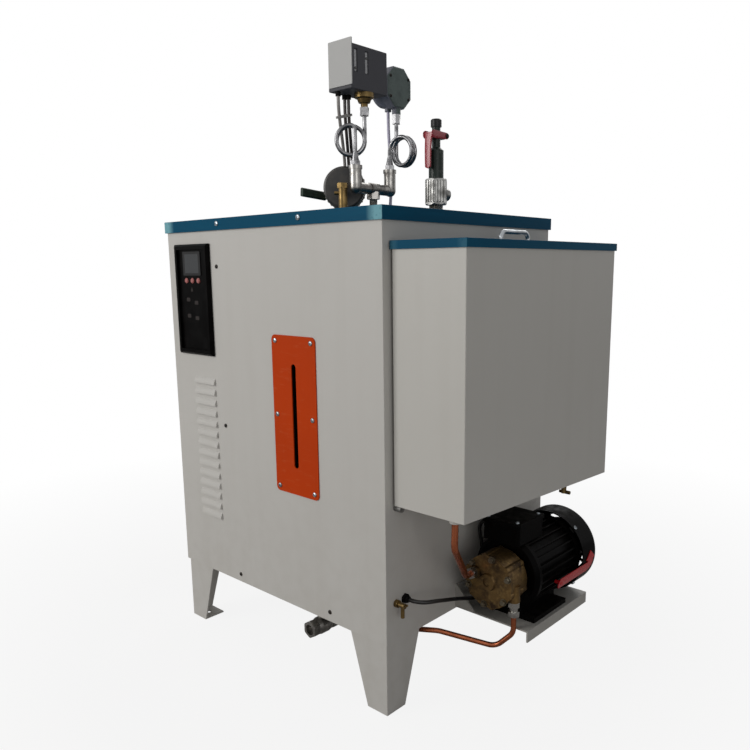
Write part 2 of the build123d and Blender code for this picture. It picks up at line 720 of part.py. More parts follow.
# Motor: finned housing between two end shields, on a foot
box_y = MOTOR_FRONT + BOX_BACK
box_low = shaft_z + MOTOR_CORE_RADIUS + 1
shaft_plane = Plane(origin=(shaft_x, MOTOR_FRONT, shaft_z), x_dir=(1, 0, 0), z_dir=(0, 1, 0))
with BuildPart() as motor_body:
    with BuildSketch(shaft_plane.offset(END_SHIELD_LENGTH)):
        Circle(MOTOR_CORE_RADIUS)
        fin_reach = FIN_TIP_RADIUS - MOTOR_CORE_RADIUS + 2
        with PolarLocations(MOTOR_CORE_RADIUS - 2, FIN_COUNT, start_angle=180 / FIN_COUNT):
            Rectangle(fin_reach, FIN_THICKNESS, align=(Align.MIN, Align.CENTER))
    extrude(amount=MOTOR_LENGTH - 2 * END_SHIELD_LENGTH)
    add(turned((shaft_x, MOTOR_FRONT, shaft_z), (0, 1, 0),
               [(0, 0), (FIN_TIP_RADIUS - 8, 0), (FIN_TIP_RADIUS, 6), (FIN_TIP_RADIUS, END_SHIELD_LENGTH),
                (0, END_SHIELD_LENGTH)]))
    with BuildSketch(shaft_plane.offset(MOTOR_LENGTH - END_SHIELD_LENGTH)):
        Circle(FIN_TIP_RADIUS)
        with PolarLocations(FIN_TIP_RADIUS - 4, 4, start_angle=45):
            Rectangle(COWL_RADIUS - FIN_TIP_RADIUS + 4, COWL_LUG_WIDTH, align=(Align.MIN, Align.CENTER))
        Circle(COWL_RADIUS - COWL_SHEET - 0.1, mode=Mode.INTERSECT)
    extrude(amount=END_SHIELD_LENGTH)
    foot_front = MOTOR_FRONT + MOTOR_FOOT_FRONT
    foot_back = foot_front + MOTOR_FOOT_LENGTH
    add(block((shaft_x - MOTOR_FOOT_WIDTH / 2, foot_front, shelf_top),
              (shaft_x + MOTOR_FOOT_WIDTH / 2, foot_back, shelf_top + MOTOR_FOOT_THICKNESS)))
    add(block((shaft_x - MOTOR_STAND_WIDTH / 2, foot_front, shelf_top),
              (shaft_x + MOTOR_STAND_WIDTH / 2, foot_back, shaft_z)))
    add(block((shaft_x - BOX_WIDTH / 4, MOTOR_FRONT + 1, shaft_z),
              (shaft_x + BOX_WIDTH / 4, box_y + BOX_LENGTH / 2, box_low)))
    add(block((shaft_x - BOX_WIDTH, box_y - BOX_LENGTH / 2 - 2, box_low),
              (shaft_x + BOX_WIDTH, box_y + BOX_LENGTH / 2 + 2, box_low + COWL_RADIUS)),
        mode=Mode.SUBTRACT)
    add(rod((shaft_x, motor_back, shaft_z), (0, 1, 0), FAN_SHAFT_RADIUS, 8))
write(motor_body.part, "motor_body")

# Fan cowl: a drawn cup with rings of slots, and the fan inside it
cowl_plane = shaft_plane.offset(MOTOR_LENGTH)
with BuildPart() as motor_cowl:
    with BuildSketch(cowl_plane.offset(-END_SHIELD_LENGTH + 6)):
        Circle(COWL_RADIUS)
    extrude(amount=COWL_LENGTH + END_SHIELD_LENGTH - 6)
    fillet(motor_cowl.faces().sort_by(Axis.Y)[-1].edges(), COWL_CORNER)
    with BuildSketch(cowl_plane.offset(-END_SHIELD_LENGTH + 6)):
        Circle(COWL_RADIUS - COWL_SHEET)
    extrude(amount=COWL_LENGTH + END_SHIELD_LENGTH - 6 - COWL_CORNER, mode=Mode.SUBTRACT)
    with BuildSketch(cowl_plane.offset(COWL_LENGTH - COWL_CORNER)):
        Circle(COWL_RADIUS - COWL_CORNER)
    extrude(amount=COWL_CORNER - COWL_SHEET, mode=Mode.SUBTRACT)
    with BuildSketch(cowl_plane.offset(COWL_LENGTH)):
        for row in range(GRILLE_ROWS):
            ring_radius = GRILLE_INNER + row * (GRILLE_SLOT + GRILLE_LAND)
            Circle(ring_radius + GRILLE_SLOT)
            Circle(ring_radius, mode=Mode.SUBTRACT)
        for spoke in range(3):
            Rectangle(2 * COWL_RADIUS, GRILLE_SPOKE, rotation=30 + 60 * spoke, mode=Mode.SUBTRACT)
    extrude(amount=-COWL_SHEET, mode=Mode.SUBTRACT)
write(motor_cowl.part, "motor_cowl")
with BuildPart() as motor_fan:
    with BuildSketch(cowl_plane.offset(8)):
        Circle(FAN_HUB_RADIUS)
        with PolarLocations(FAN_HUB_RADIUS - 1, FAN_BLADES):
            Rectangle(FAN_RADIUS - FAN_HUB_RADIUS + 1, FAN_BLADE_SHEET, align=(Align.MIN, Align.CENTER))
    extrude(amount=FAN_DEPTH)
    with BuildSketch(cowl_plane.offset(8)):
        Circle(FAN_RADIUS)
    extrude(amount=FAN_BLADE_SHEET)
write(motor_fan.part, "motor_fan")

# Terminal box on the motor, with a lid that overhangs it a little
box_x = shaft_x + BOX_SHIFT
with BuildPart() as terminal_box:
    with BuildSketch(Plane.XY.offset(box_low)):
        with Locations((box_x, box_y)):
            RectangleRounded(BOX_WIDTH - 4, BOX_LENGTH - 4, BOX_CORNER)
    extrude(amount=BOX_HEIGHT - BOX_LID)
    with BuildSketch(Plane.XY.offset(box_low + BOX_HEIGHT - BOX_LID)):
        with Locations((box_x, box_y)):
            RectangleRounded(BOX_WIDTH, BOX_LENGTH, BOX_CORNER)
    extrude(amount=BOX_LID)
    fillet(terminal_box.faces().sort_by(Axis.Z)[-1].edges(), 2)
write(terminal_box.part, "terminal_box")

# Pump: cast case with a lantern against the motor and an outlet boss below
outlet_x = shaft_x + OUTLET_RIGHT
outlet_y = pump_case_front + OUTLET_BOSS_RADIUS
outlet_z = shaft_z - OUTLET_DROP
with BuildPart() as pump_case:
    with BuildSketch(Plane(origin=(shaft_x, pump_case_front, shaft_z), x_dir=(1, 0, 0), z_dir=(0, 1, 0))):
        Circle(PUMP_RADIUS - 3)
        with PolarLocations(PUMP_RADIUS - PUMP_LUG_RADIUS, PUMP_LUG_COUNT, start_angle=20):
            Circle(PUMP_LUG_RADIUS)
    extrude(amount=PUMP_CASE_LENGTH)
    with BuildSketch(Plane(origin=(shaft_x, pump_case_back, shaft_z), z_dir=(0, 1, 0))):
        Circle(PUMP_LANTERN_RADIUS)
    extrude(amount=PUMP_LANTERN_LENGTH)
    add(rod((outlet_x, outlet_y, outlet_z), UP, OUTLET_BOSS_RADIUS, OUTLET_DROP))
    add(rod((outlet_x, outlet_y, outlet_z), DOWN, CHECK_SPOT_RADIUS, CHECK_VALVE_LENGTH),
        mode=Mode.SUBTRACT)
write(pump_case.part, "pump_case")

# Pump cover: a lugged disc with a ringed boss and the inlet boss
inlet_x = shaft_x - INLET_LEFT
inlet_z = shaft_z + INLET_UP
with BuildPart() as pump_cover:
    with BuildSketch(Plane(origin=(shaft_x, pump_case_front, shaft_z), x_dir=(1, 0, 0), z_dir=(0, -1, 0))):
        Circle(PUMP_RADIUS - 3)
        with PolarLocations(PUMP_RADIUS - PUMP_LUG_RADIUS, PUMP_LUG_COUNT, start_angle=-20):
            Circle(PUMP_LUG_RADIUS)
    extrude(amount=PUMP_COVER_THICKNESS)
    add(turned((shaft_x, pump_front, shaft_z), (0, -1, 0),
               [(0, 0), (PUMP_BOSS_RADIUS, 0), (PUMP_BOSS_RADIUS - 2, PUMP_BOSS_PROUD),
                (PUMP_BOSS_RADIUS / 2, PUMP_BOSS_PROUD), (PUMP_BOSS_RADIUS / 2, PUMP_BOSS_PROUD / 2),
                (0, PUMP_BOSS_PROUD / 2)]))
    add(rod((inlet_x, pump_front, inlet_z), (0, -1, 0), INLET_RADIUS, INLET_BOSS))
write(pump_cover.part, "pump_cover")

# Unions on the pump: the inlet nut, and a check valve between two outlet nuts
inlet_nut_front = pump_front - INLET_BOSS - INLET_NUT_LENGTH
check_low = outlet_z - CHECK_VALVE_LENGTH
with BuildPart() as pump_unions:
    add(hex_bar((inlet_x, pump_front - INLET_BOSS, inlet_z), (0, -1, 0), INLET_NUT_HEX, INLET_NUT_LENGTH))
    add(hex_bar((outlet_x, outlet_y, outlet_z), DOWN, CHECK_VALVE_HEX, CHECK_NUT_LENGTH))
    add(rod((outlet_x, outlet_y, outlet_z), DOWN, CHECK_VALVE_WAIST, CHECK_VALVE_LENGTH))
    add(hex_bar((outlet_x, outlet_y, check_low), UP, CHECK_VALVE_HEX, CHECK_NUT_LENGTH))
write(pump_unions.part, "pump_unions")

# Suction pipe: copper, from the tank socket to the inlet nut
pipe_start = suction_start + floor_normal * SUCTION_SOCKET_LENGTH
suction_route = [pipe_start, pipe_start + floor_normal * (SUCTION_BEND_DROP - SUCTION_SOCKET_LENGTH),
                 (inlet_x, inlet_nut_front - 13, inlet_z), (inlet_x, inlet_nut_front, inlet_z)]
with BuildPart() as suction_pipe:
    add(tube_along(suction_route, SUCTION_BENDS, SUCTION_RADIUS))
write(suction_pipe.part, "suction_pipe")

# Discharge pipe: copper, from the check valve under the cabinet and up into it
discharge_route = [(outlet_x, outlet_y, check_low), (outlet_x, outlet_y, check_low - 34),
                   (outlet_x - 32, outlet_y - 10, check_low - 68), (half_width + 17, -132, LEG_HEIGHT - 13),
                   (half_width - 30, -150, LEG_HEIGHT - 18), (half_width - 30, -150, LEG_HEIGHT)]
with BuildPart() as discharge_pipe:
    add(tube_along(discharge_route, DISCHARGE_BENDS, DISCHARGE_RADIUS))
write(discharge_pipe.part, "discharge_pipe")

# Rotation arrow: a curved strip along the motor's side, its head curling up
# round the cowl, riveted to the housing at its tail
arrow_radius = COWL_RADIUS + 0.3
arrow_mid = shaft_z - ARROW_DROP
with BuildPart() as rotation_arrow:
    with BuildSketch(Plane(origin=(shaft_x, ARROW_TAIL, shaft_z), x_dir=(1, 0, 0), z_dir=(0, 1, 0))):
        Circle(arrow_radius + ARROW_SHEET)
        Circle(arrow_radius, mode=Mode.SUBTRACT)
    extrude(amount=motor_back + COWL_LENGTH - ARROW_TAIL)
    with BuildSketch(Plane.YZ.offset(shaft_x + COWL_RADIUS / 2)):
        with BuildLine():
            low = arrow_mid - ARROW_BAND / 2
            high = arrow_mid + ARROW_BAND / 2
            bend = ARROW_BEND
            neck = high + ARROW_NECK
            tip = neck + ARROW_HEAD
            Line((ARROW_TAIL + 6, low), (bend, low))
            ThreePointArc((bend, low), (bend + 0.75 * ARROW_BAND, low + 0.3 * ARROW_BAND),
                          (bend + ARROW_BAND, high))
            Polyline((bend + ARROW_BAND, high), (bend + ARROW_BAND, neck),
                     (bend + ARROW_BAND + ARROW_BARB, neck), (bend + ARROW_BAND / 2, tip),
                     (bend - ARROW_BARB, neck), (bend, neck), (bend, high), (ARROW_TAIL + 6, high))
            ThreePointArc((ARROW_TAIL + 6, high), (ARROW_TAIL, arrow_mid), (ARROW_TAIL + 6, low))
        make_face()
    extrude(amount=COWL_RADIUS, mode=Mode.INTERSECT)
    rivet_base = (FIN_TIP_RADIUS ** 2 - ARROW_DROP ** 2) ** 0.5 + 0.1
    rivet_end = (arrow_radius ** 2 - ARROW_DROP ** 2) ** 0.5 + ARROW_SHEET + 1
    add(rod((shaft_x + rivet_base, ARROW_TAIL + ARROW_BAND / 2, arrow_mid), (1, 0, 0),
            ARROW_RIVET_RADIUS, rivet_end - rivet_base))
write(rotation_arrow.part, "rotation_arrow")

# Petcock on the wall: hexagon, body, spout turned down and a cross key
tap_start = Vector(half_width, front_face + TAP_BACK, TAP_Z)
with BuildPart() as wall_tap:
    add(hex_bar(tap_start, (1, 0, 0), 2.2 * TAP_RADIUS, TAP_REACH / 3))
    add(rod(tap_start, (1, 0, 0), TAP_RADIUS * 0.8, TAP_REACH))
    add(rod(tap_start + Vector(TAP_REACH - TAP_RADIUS, 0, 0), DOWN, TAP_RADIUS * 0.6, TAP_DROP))
    add(rod(tap_start + Vector(TAP_REACH, -TAP_RADIUS, 0), (0, 1, 0), TAP_RADIUS / 3, 2 * TAP_RADIUS))
write(wall_tap.part, "wall_tap")

# Cable glands: on the wall, on the terminal box and under the octagonal case
gland_wall = Vector(half_width, front_face + WALL_GLAND_BACK, WALL_GLAND_Z)
gland_box = Vector(box_x - BOX_WIDTH / 2 + 2, box_y + 8, box_low + (BOX_HEIGHT - BOX_LID) / 2)
octagon_back = OCTAGON_FACE_X - OCTAGON_COVER_DEPTH - OCTAGON_CASE_DEPTH
octagon_z = lid_top + OCTAGON_RISE
gland_octagon = Vector(octagon_back + 15, OCTAGON_Y + 5, octagon_z - OCTAGON_CASE_RADIUS)
gland_outline = [(0, 0), (GLAND_RADIUS, 0), (GLAND_RADIUS, GLAND_LENGTH / 2),
                 (GLAND_RADIUS * 0.72, GLAND_LENGTH), (0, GLAND_LENGTH)]
with BuildPart() as cable_glands:
    for start, direction in ((gland_wall, Vector(1, 0, 0)), (gland_box, Vector(-1, 0, 0))):
        add(hex_bar(start, direction, GLAND_HEX, GLAND_NUT))
        add(turned(start + direction * GLAND_NUT, direction, gland_outline))
write(cable_glands.part, "cable_glands")


def ball_valve(boss_reach):
    """A ball valve standing on Z about the origin, its stem boss towards +X."""
    half = VALVE_LENGTH / 2
    waist = half - VALVE_HEX_LENGTH
    shell = [(0, -half), (VALVE_BODY_RADIUS - 3, -half), (VALVE_BODY_RADIUS - 3, -waist),
             (VALVE_BODY_RADIUS, 0.7 - waist / 2), (VALVE_BODY_RADIUS, waist / 2),
             (VALVE_BODY_RADIUS - 3, waist), (VALVE_BODY_RADIUS - 3, half), (0, half)]
    with BuildPart() as valve:
        add(turned((0, 0, 0), UP, shell))
        add(hex_bar((0, 0, -half), UP, VALVE_HEX, VALVE_HEX_LENGTH))
        add(hex_bar((0, 0, half), DOWN, VALVE_HEX, VALVE_HEX_LENGTH))
        add(rod((0, 0, 0), (1, 0, 0), VALVE_BOSS_RADIUS, boss_reach))
        add(rod((0, 0, half), DOWN, VALVE_BORE_RADIUS, VALVE_THREAD_DEPTH), mode=Mode.SUBTRACT)
        add(rod((0, 0, -half), UP, VALVE_BORE_RADIUS, VALVE_THREAD_DEPTH), mode=Mode.SUBTRACT)
        add(rod((boss_reach, 0, 0), (-1, 0, 0), VALVE_STEM_RADIUS + RUNNING_CLEARANCE, VALVE_STEM_DEPTH),
            mode=Mode.SUBTRACT)
    return valve.part


# Drain valve: lies along Y under the base pan, its stem up towards the pan
drain_z = LEG_HEIGHT - DRAIN_DROP
drain_y = front_face - DRAIN_PROUD + VALVE_LENGTH / 2
drain_back = drain_y + VALVE_LENGTH / 2
drain_plane = Plane(origin=(DRAIN_X, drain_y, drain_z), x_dir=(0, 0, 1), z_dir=(0, -1, 0))
with BuildPart() as drain_valve:
    add(drain_plane.location * ball_valve(DRAIN_BOSS_REACH))
write(drain_valve.part, "drain_valve")
with BuildPart() as drain_elbow:
    corner_y = drain_back + DRAIN_ELBOW_REACH
    add(rod((DRAIN_X, drain_back - SPIGOT_LENGTH, drain_z), (0, 1, 0),
            VALVE_BORE_RADIUS - THREAD_CLEARANCE, SPIGOT_LENGTH))
    add(rod((DRAIN_X, drain_back, drain_z), (0, 1, 0), DRAIN_ELBOW_RADIUS, DRAIN_ELBOW_REACH))
    with Locations((DRAIN_X, corner_y, drain_z)):
        Sphere(DRAIN_ELBOW_RADIUS)
    add(rod((DRAIN_X, corner_y, drain_z), UP, DRAIN_ELBOW_RADIUS, DRAIN_DROP))
write(drain_elbow.part, "drain_elbow")
drain_boss_top = drain_z + DRAIN_BOSS_REACH
with BuildPart() as drain_lever:
    lever_low = drain_boss_top + 0.2
    add(rod((DRAIN_X, drain_y, drain_boss_top - VALVE_STEM_DEPTH + 0.5), UP, VALVE_STEM_RADIUS,
            VALVE_STEM_DEPTH))
    with BuildSketch(Plane.XY.offset(lever_low)):
        with Locations((DRAIN_X + (DRAIN_LEVER_LONG - DRAIN_LEVER_SHORT) / 2, drain_y)):
            SlotOverall(DRAIN_LEVER_LONG + DRAIN_LEVER_SHORT, DRAIN_LEVER_WIDTH)
    extrude(amount=LEVER_THICKNESS)
    add(hex_bar((DRAIN_X, drain_y, lever_low + LEVER_THICKNESS), UP, STEM_NUT_HEX, STEM_NUT_LENGTH, 0.5))
write(drain_lever.part, "drain_lever")

# Nipples on the lid under the manifold, the steam valve and the safety valve
steam_low = lid_top + STEAM_NIPPLE
steam_z = steam_low + VALVE_LENGTH / 2
tee_low = lid_top + MANIFOLD_RISE - TEE_DROP
safety_low = lid_top + SAFETY_NIPPLE_HEIGHT
with BuildPart() as lid_nipples:
    add(hex_bar((MANIFOLD_X, MANIFOLD_Y, lid_top), UP, NIPPLE_HEX, (tee_low - lid_top) / 2))
    add(rod((MANIFOLD_X, MANIFOLD_Y, lid_top), UP, NIPPLE_HEX * 0.36, tee_low - lid_top))
    add(hex_bar((STEAM_X, STEAM_Y, lid_top), UP, VALVE_HEX, STEAM_NIPPLE))
    add(rod((STEAM_X, STEAM_Y, steam_low), UP, VALVE_BORE_RADIUS - THREAD_CLEARANCE, SPIGOT_LENGTH))
    add(rod((SAFETY_X, SAFETY_Y, lid_top), UP, SAFETY_NIPPLE_RADIUS, SAFETY_NIPPLE_HEIGHT))
write(lid_nipples.part, "lid_nipples")

# Manifold: a cross pipe between two elbows turned up, on a tee
manifold_z = lid_top + MANIFOLD_RISE
manifold_ends = (MANIFOLD_Y - MANIFOLD_SPAN / 2, MANIFOLD_Y + MANIFOLD_SPAN / 2)
elbow_top = manifold_z + ELBOW_RISE
with BuildPart() as manifold:
    add(rod((MANIFOLD_X, manifold_ends[0], manifold_z), (0, 1, 0), MANIFOLD_RADIUS, MANIFOLD_SPAN))
    for end_y in manifold_ends:
        add(rod((MANIFOLD_X, end_y, manifold_z), UP, ELBOW_RADIUS, ELBOW_RISE))
        add(rod((MANIFOLD_X, end_y, elbow_top - ELBOW_BAND), UP, ELBOW_RADIUS + ELBOW_BAND_PROUD, ELBOW_BAND))
        with Locations((MANIFOLD_X, end_y, manifold_z)):
            Sphere(ELBOW_RADIUS)
    add(rod((MANIFOLD_X, MANIFOLD_Y - ELBOW_RADIUS, manifold_z), (0, 1, 0),
            MANIFOLD_RADIUS + ELBOW_BAND_PROUD, 2 * ELBOW_RADIUS))
    add(hex_bar((MANIFOLD_X, MANIFOLD_Y, tee_low), UP, TEE_HEX, TEE_DROP - MANIFOLD_RADIUS / 2))
write(manifold.part, "manifold")


def union(x, y):
    """A siphon's union: a hexagon on the elbow and a cone up to the tube."""
    cone = [(0, 0), (UNION_HEX * 0.45, 0), (SIPHON_TUBE_RADIUS + 0.5, UNION_CONE), (0, UNION_CONE)]
    with BuildPart() as shape:
        add(hex_bar((x, y, elbow_top), UP, UNION_HEX, UNION_HEIGHT))
        add(turned((x, y, elbow_top + UNION_HEIGHT), UP, cone))
    return shape.part


# Right siphon: two turns about Y, entered and left at the ring's left side
corner_reach = SIPHON_RING_RADIUS / cos(pi / 8)
octant = pi / 4
right_ring_z = lid_top + RIGHT_RING_RISE
right_ring_x = MANIFOLD_X + SIPHON_RING_RADIUS
right_nut_top = lid_top + RIGHT_NUT_TOP
right_nut_low = right_nut_top - RIGHT_NUT_HEIGHT
right_turns = 2
right_corners = []
for step in range(8 * right_turns):
    angle = pi - octant * (step + 0.5)
    right_corners.append((right_ring_x + corner_reach * cos(angle),
                          manifold_ends[1] + RIGHT_PITCH * (step + 0.5) / 8,
                          right_ring_z + corner_reach * sin(angle)))
right_end_y = manifold_ends[1] + RIGHT_PITCH * right_turns
right_route = [(MANIFOLD_X, manifold_ends[1], elbow_top + UNION_HEIGHT / 2)] + right_corners
right_route += [(MANIFOLD_X, right_end_y, right_nut_low)]
with BuildPart() as siphon_right:
    add(tube_along(right_route, [0.97 * SIPHON_RING_RADIUS] * len(right_corners), SIPHON_TUBE_RADIUS))
    add(union(MANIFOLD_X, manifold_ends[1]))
    add(hex_bar((MANIFOLD_X, right_end_y, right_nut_low), UP, SIPHON_NUT_HEX, RIGHT_NUT_HEIGHT))
write(siphon_right.part, "siphon_right")

# Left siphon: its ring stands across the diagonal. The tube comes down from
# the controller on the ring's right, winds one turn and three quarters towards
# the front, and curls over the top into the stem
left_stem = Vector(MANIFOLD_X, manifold_ends[0], 0) - GROUP_CENTRE
left_stem_away = left_stem.dot(AWAY)
left_middle_across = left_stem.dot(ACROSS) - LEFT_STEM_ACROSS
left_ring_z = lid_top + LEFT_RING_RISE
left_steps = 14
left_start_away = left_stem_away + LEFT_PITCH * (left_steps + 1) / 8
left_nut_top = lid_top + LEFT_NUT_TOP
left_nut_low = left_nut_top - LEFT_NUT_HEIGHT
left_corners = []
for step in range(left_steps):
    angle = -octant * (step + 0.5)
    left_corners.append(on_diagonal(left_middle_across + corner_reach * cos(angle),
                                    left_start_away - LEFT_PITCH * (step + 0.5) / 8,
                                    left_ring_z + corner_reach * sin(angle)))
left_top = on_diagonal(left_middle_across + SIPHON_RING_RADIUS, left_start_away, left_nut_low)
left_curl = on_diagonal(left_stem.dot(ACROSS), left_stem_away, left_ring_z + SIPHON_RING_RADIUS)
left_foot = Vector(MANIFOLD_X, manifold_ends[0], elbow_top)
left_radii = [0.97 * SIPHON_RING_RADIUS] * left_steps
left_joint = left_corners[-1] + (left_curl - left_corners[-1]) * LEFT_JOINT
with BuildPart() as siphon_left:
    add(tube_along([left_top] + left_corners + [left_joint], left_radii, SIPHON_TUBE_RADIUS))
    add(tube_along([left_joint, left_curl, left_foot], [LEFT_CURL_RADIUS], SIPHON_TUBE_RADIUS))
    add(union(MANIFOLD_X, manifold_ends[0]))
    add(hex_bar(left_top, UP, SIPHON_NUT_HEX, LEFT_NUT_HEIGHT))
write(siphon_left.part, "siphon_left")

# Box controller: a folded case with two sunk scale windows, on a brass bellows
case_low = lid_top + CONTROL_BOX_RISE
case_x = (CONTROL_BOX_X - CONTROL_BOX_WIDTH / 2, CONTROL_BOX_X + CONTROL_BOX_WIDTH / 2)
case_y = (CONTROL_BOX_Y - CONTROL_BOX_LENGTH / 2, CONTROL_BOX_Y + CONTROL_BOX_LENGTH / 2)
with BuildPart() as box_controller:
    add(block((case_x[0], case_y[0], case_low), (case_x[1], case_y[1], case_low + CONTROL_BOX_HEIGHT)))
    fillet(box_controller.edges(), 1.5)
    for window_step in WINDOW_STEPS:
        window_y = case_y[0] + window_step
        window_high = case_low + CONTROL_BOX_HEIGHT - WINDOW_TOP_GAP
        add(block((case_x[1] - WINDOW_SUNK, window_y - WINDOW_WIDTH / 2, window_high - WINDOW_HEIGHT),
                  (case_x[1] + 1, window_y + WINDOW_WIDTH / 2, window_high)), mode=Mode.SUBTRACT)
write(box_controller.part, "box_controller")
plate_low = case_low + CONTROL_BOX_HEIGHT + SIDE_PLATE_RISE - SIDE_PLATE_HEIGHT
with BuildPart() as box_side_plate:
    add(block((case_x[0] + SIDE_PLATE_SHIFT, case_y[0] - SIDE_PLATE_SHEET, plate_low),
              (case_x[1] + SIDE_PLATE_SHIFT, case_y[0], plate_low + SIDE_PLATE_HEIGHT)))
    fillet(box_side_plate.edges().filter_by(Axis.Y), 1.5)
write(box_side_plate.part, "box_side_plate")
with BuildPart() as box_bellows:
    neck_height = case_low - left_nut_top
    bellows_start = left_top + UP * (left_nut_top - left_nut_low)
    add(turned(bellows_start, UP,
               [(0, 0), (BELLOWS_NECK_RADIUS, 0), (BELLOWS_NECK_RADIUS, neck_height - BELLOWS_HEIGHT),
                (BELLOWS_RADIUS * 0.6, neck_height - BELLOWS_HEIGHT),
                (BELLOWS_RADIUS * 0.75, neck_height - BELLOWS_HEIGHT * 0.6),
                (BELLOWS_RADIUS, neck_height - BELLOWS_HEIGHT * 0.5), (BELLOWS_RADIUS, neck_height),
                (0, neck_height)]))
write(box_bellows.part, "box_bellows")

# Octagonal controller: a cast case, round behind, with a chamfered cover
octagon_neck_low = right_nut_top
cover_x = OCTAGON_FACE_X - OCTAGON_COVER_DEPTH
with BuildPart() as octagon_controller:
    with BuildSketch(Plane.YZ.offset(cover_x)) as cover_outline:
        with Locations((OCTAGON_Y, octagon_z)):
            Rectangle(OCTAGON_WIDTH, OCTAGON_HEIGHT)
        chamfer(cover_outline.vertices(), OCTAGON_CHAMFER)
    extrude(amount=OCTAGON_COVER_DEPTH)
    fillet(octagon_controller.faces().sort_by(Axis.X)[-1].edges(), 4)
    add(rod((cover_x, OCTAGON_Y, octagon_z), (-1, 0, 0), OCTAGON_CASE_RADIUS, OCTAGON_CASE_DEPTH))
    fillet(octagon_controller.faces().sort_by(Axis.X)[0].edges(), 5)
    add(rod((MANIFOLD_X, right_end_y, octagon_neck_low), UP, OCTAGON_NECK_RADIUS,
            octagon_z - OCTAGON_CASE_RADIUS / 2 - octagon_neck_low))
    add(rod(gland_octagon + UP * GLAND_LENGTH, DOWN, GLAND_RADIUS, OCTAGON_GLAND_LENGTH))
write(octagon_controller.part, "octagon_controller")

# Pressure gauge: a turned case with a toothed bezel, on a brass elbow
gauge_z = lid_top + GAUGE_RISE
gauge_start = on_diagonal(GAUGE_ACROSS, GAUGE_BACK, gauge_z)
with BuildPart() as gauge_case:
    add(turned(gauge_start, AWAY,
               [(0, 0), (GAUGE_RADIUS - 4, 0), (GAUGE_RADIUS, 3), (GAUGE_RADIUS, GAUGE_DEPTH),
                (GAUGE_RADIUS - 3, GAUGE_DEPTH), (GAUGE_RADIUS - 3, GAUGE_DEPTH - GAUGE_DIAL_SUNK),
                (0, GAUGE_DEPTH - GAUGE_DIAL_SUNK)]))
    bezel_plane = Plane(origin=gauge_start + AWAY * (GAUGE_DEPTH - GAUGE_BEZEL_DEPTH), z_dir=AWAY)
    with BuildSketch(bezel_plane):
        Circle(GAUGE_RADIUS + GAUGE_BEZEL_PROUD / 2)
        with PolarLocations(GAUGE_RADIUS, GAUGE_TEETH):
            Circle(GAUGE_BEZEL_PROUD)
        Circle(GAUGE_RADIUS - 1, mode=Mode.SUBTRACT)
    extrude(amount=GAUGE_BEZEL_DEPTH)
write(gauge_case.part, "gauge_case")
with BuildPart() as gauge_elbow:
    stem_z = gauge_z - GAUGE_STEM_DROP
    stem_start = on_diagonal(GAUGE_ACROSS, GAUGE_BACK, stem_z)
    elbow_foot = on_diagonal(GAUGE_ACROSS, GAUGE_BACK - GAUGE_STEM_REACH, lid_top)
    elbow_height = GAUGE_RISE - GAUGE_PLUG_HEIGHT / 2
    add(rod(stem_start, -AWAY, GAUGE_STEM_RADIUS, GAUGE_STEM_REACH))
    add(rod(elbow_foot, UP, GAUGE_ELBOW_RADIUS, elbow_height))
    add(hex_bar(elbow_foot, UP, GAUGE_ELBOW_HEX, GAUGE_ELBOW_HEX / 2))
    add(hex_bar(elbow_foot + UP * elbow_height, UP, GAUGE_ELBOW_HEX, GAUGE_PLUG_HEIGHT))
    add(rod(stem_start - AWAY * GAUGE_STEM_REACH, -ACROSS, GAUGE_STUB_RADIUS, GAUGE_STUB_LENGTH))
write(gauge_elbow.part, "gauge_elbow")

# Steam valve, its lever and the sleeve on the lever
steam_plane = Plane(origin=(STEAM_X, STEAM_Y, steam_z), x_dir=(-1, 0, 0), z_dir=(0, 0, 1))
with BuildPart() as steam_valve:
    add(steam_plane.location * ball_valve(STEAM_BOSS_REACH))
write(steam_valve.part, "steam_valve")
steam_hub_x = STEAM_X - STEAM_STEM_REACH
steam_arm_x = steam_hub_x - STEAM_LEVER_JOGGLE
steam_tilt = Axis((STEAM_X, STEAM_Y, steam_z), (1, 0, 0))
with BuildPart() as steam_bar:
    with BuildSketch(Plane.XY.offset(steam_z - STEAM_LEVER_WIDTH / 2)):
        Polygon((steam_hub_x, STEAM_Y), (steam_hub_x, STEAM_Y - STEAM_JOGGLE_START),
                (steam_arm_x, STEAM_Y - STEAM_JOGGLE_END), (steam_arm_x, STEAM_Y - STEAM_LEVER_LENGTH),
                (steam_arm_x - LEVER_THICKNESS, STEAM_Y - STEAM_LEVER_LENGTH),
                (steam_arm_x - LEVER_THICKNESS, STEAM_Y - STEAM_JOGGLE_END),
                (steam_hub_x - LEVER_THICKNESS, STEAM_Y - STEAM_JOGGLE_START),
                (steam_hub_x - LEVER_THICKNESS, STEAM_Y), align=None)
    extrude(amount=STEAM_LEVER_WIDTH)
    add(rod((steam_hub_x, STEAM_Y, steam_z), (-1, 0, 0), STEAM_HUB_RADIUS, LEVER_THICKNESS))
with BuildPart() as steam_lever:
    add(steam_bar.part.rotate(steam_tilt, -STEAM_LEVER_TILT))
    add(rod((STEAM_X - STEAM_BOSS_REACH + VALVE_STEM_DEPTH - 0.5, STEAM_Y, steam_z), (-1, 0, 0),
            VALVE_STEM_RADIUS, STEAM_STEM_REACH - STEAM_BOSS_REACH + VALVE_STEM_DEPTH - 0.5))
    add(hex_bar((steam_hub_x - LEVER_THICKNESS, STEAM_Y, steam_z), (-1, 0, 0), STEM_NUT_HEX,
                2 * STEM_NUT_LENGTH, 0.5))
write(steam_lever.part, "steam_lever")
grip_end = STEAM_Y - STEAM_LEVER_LENGTH - 2
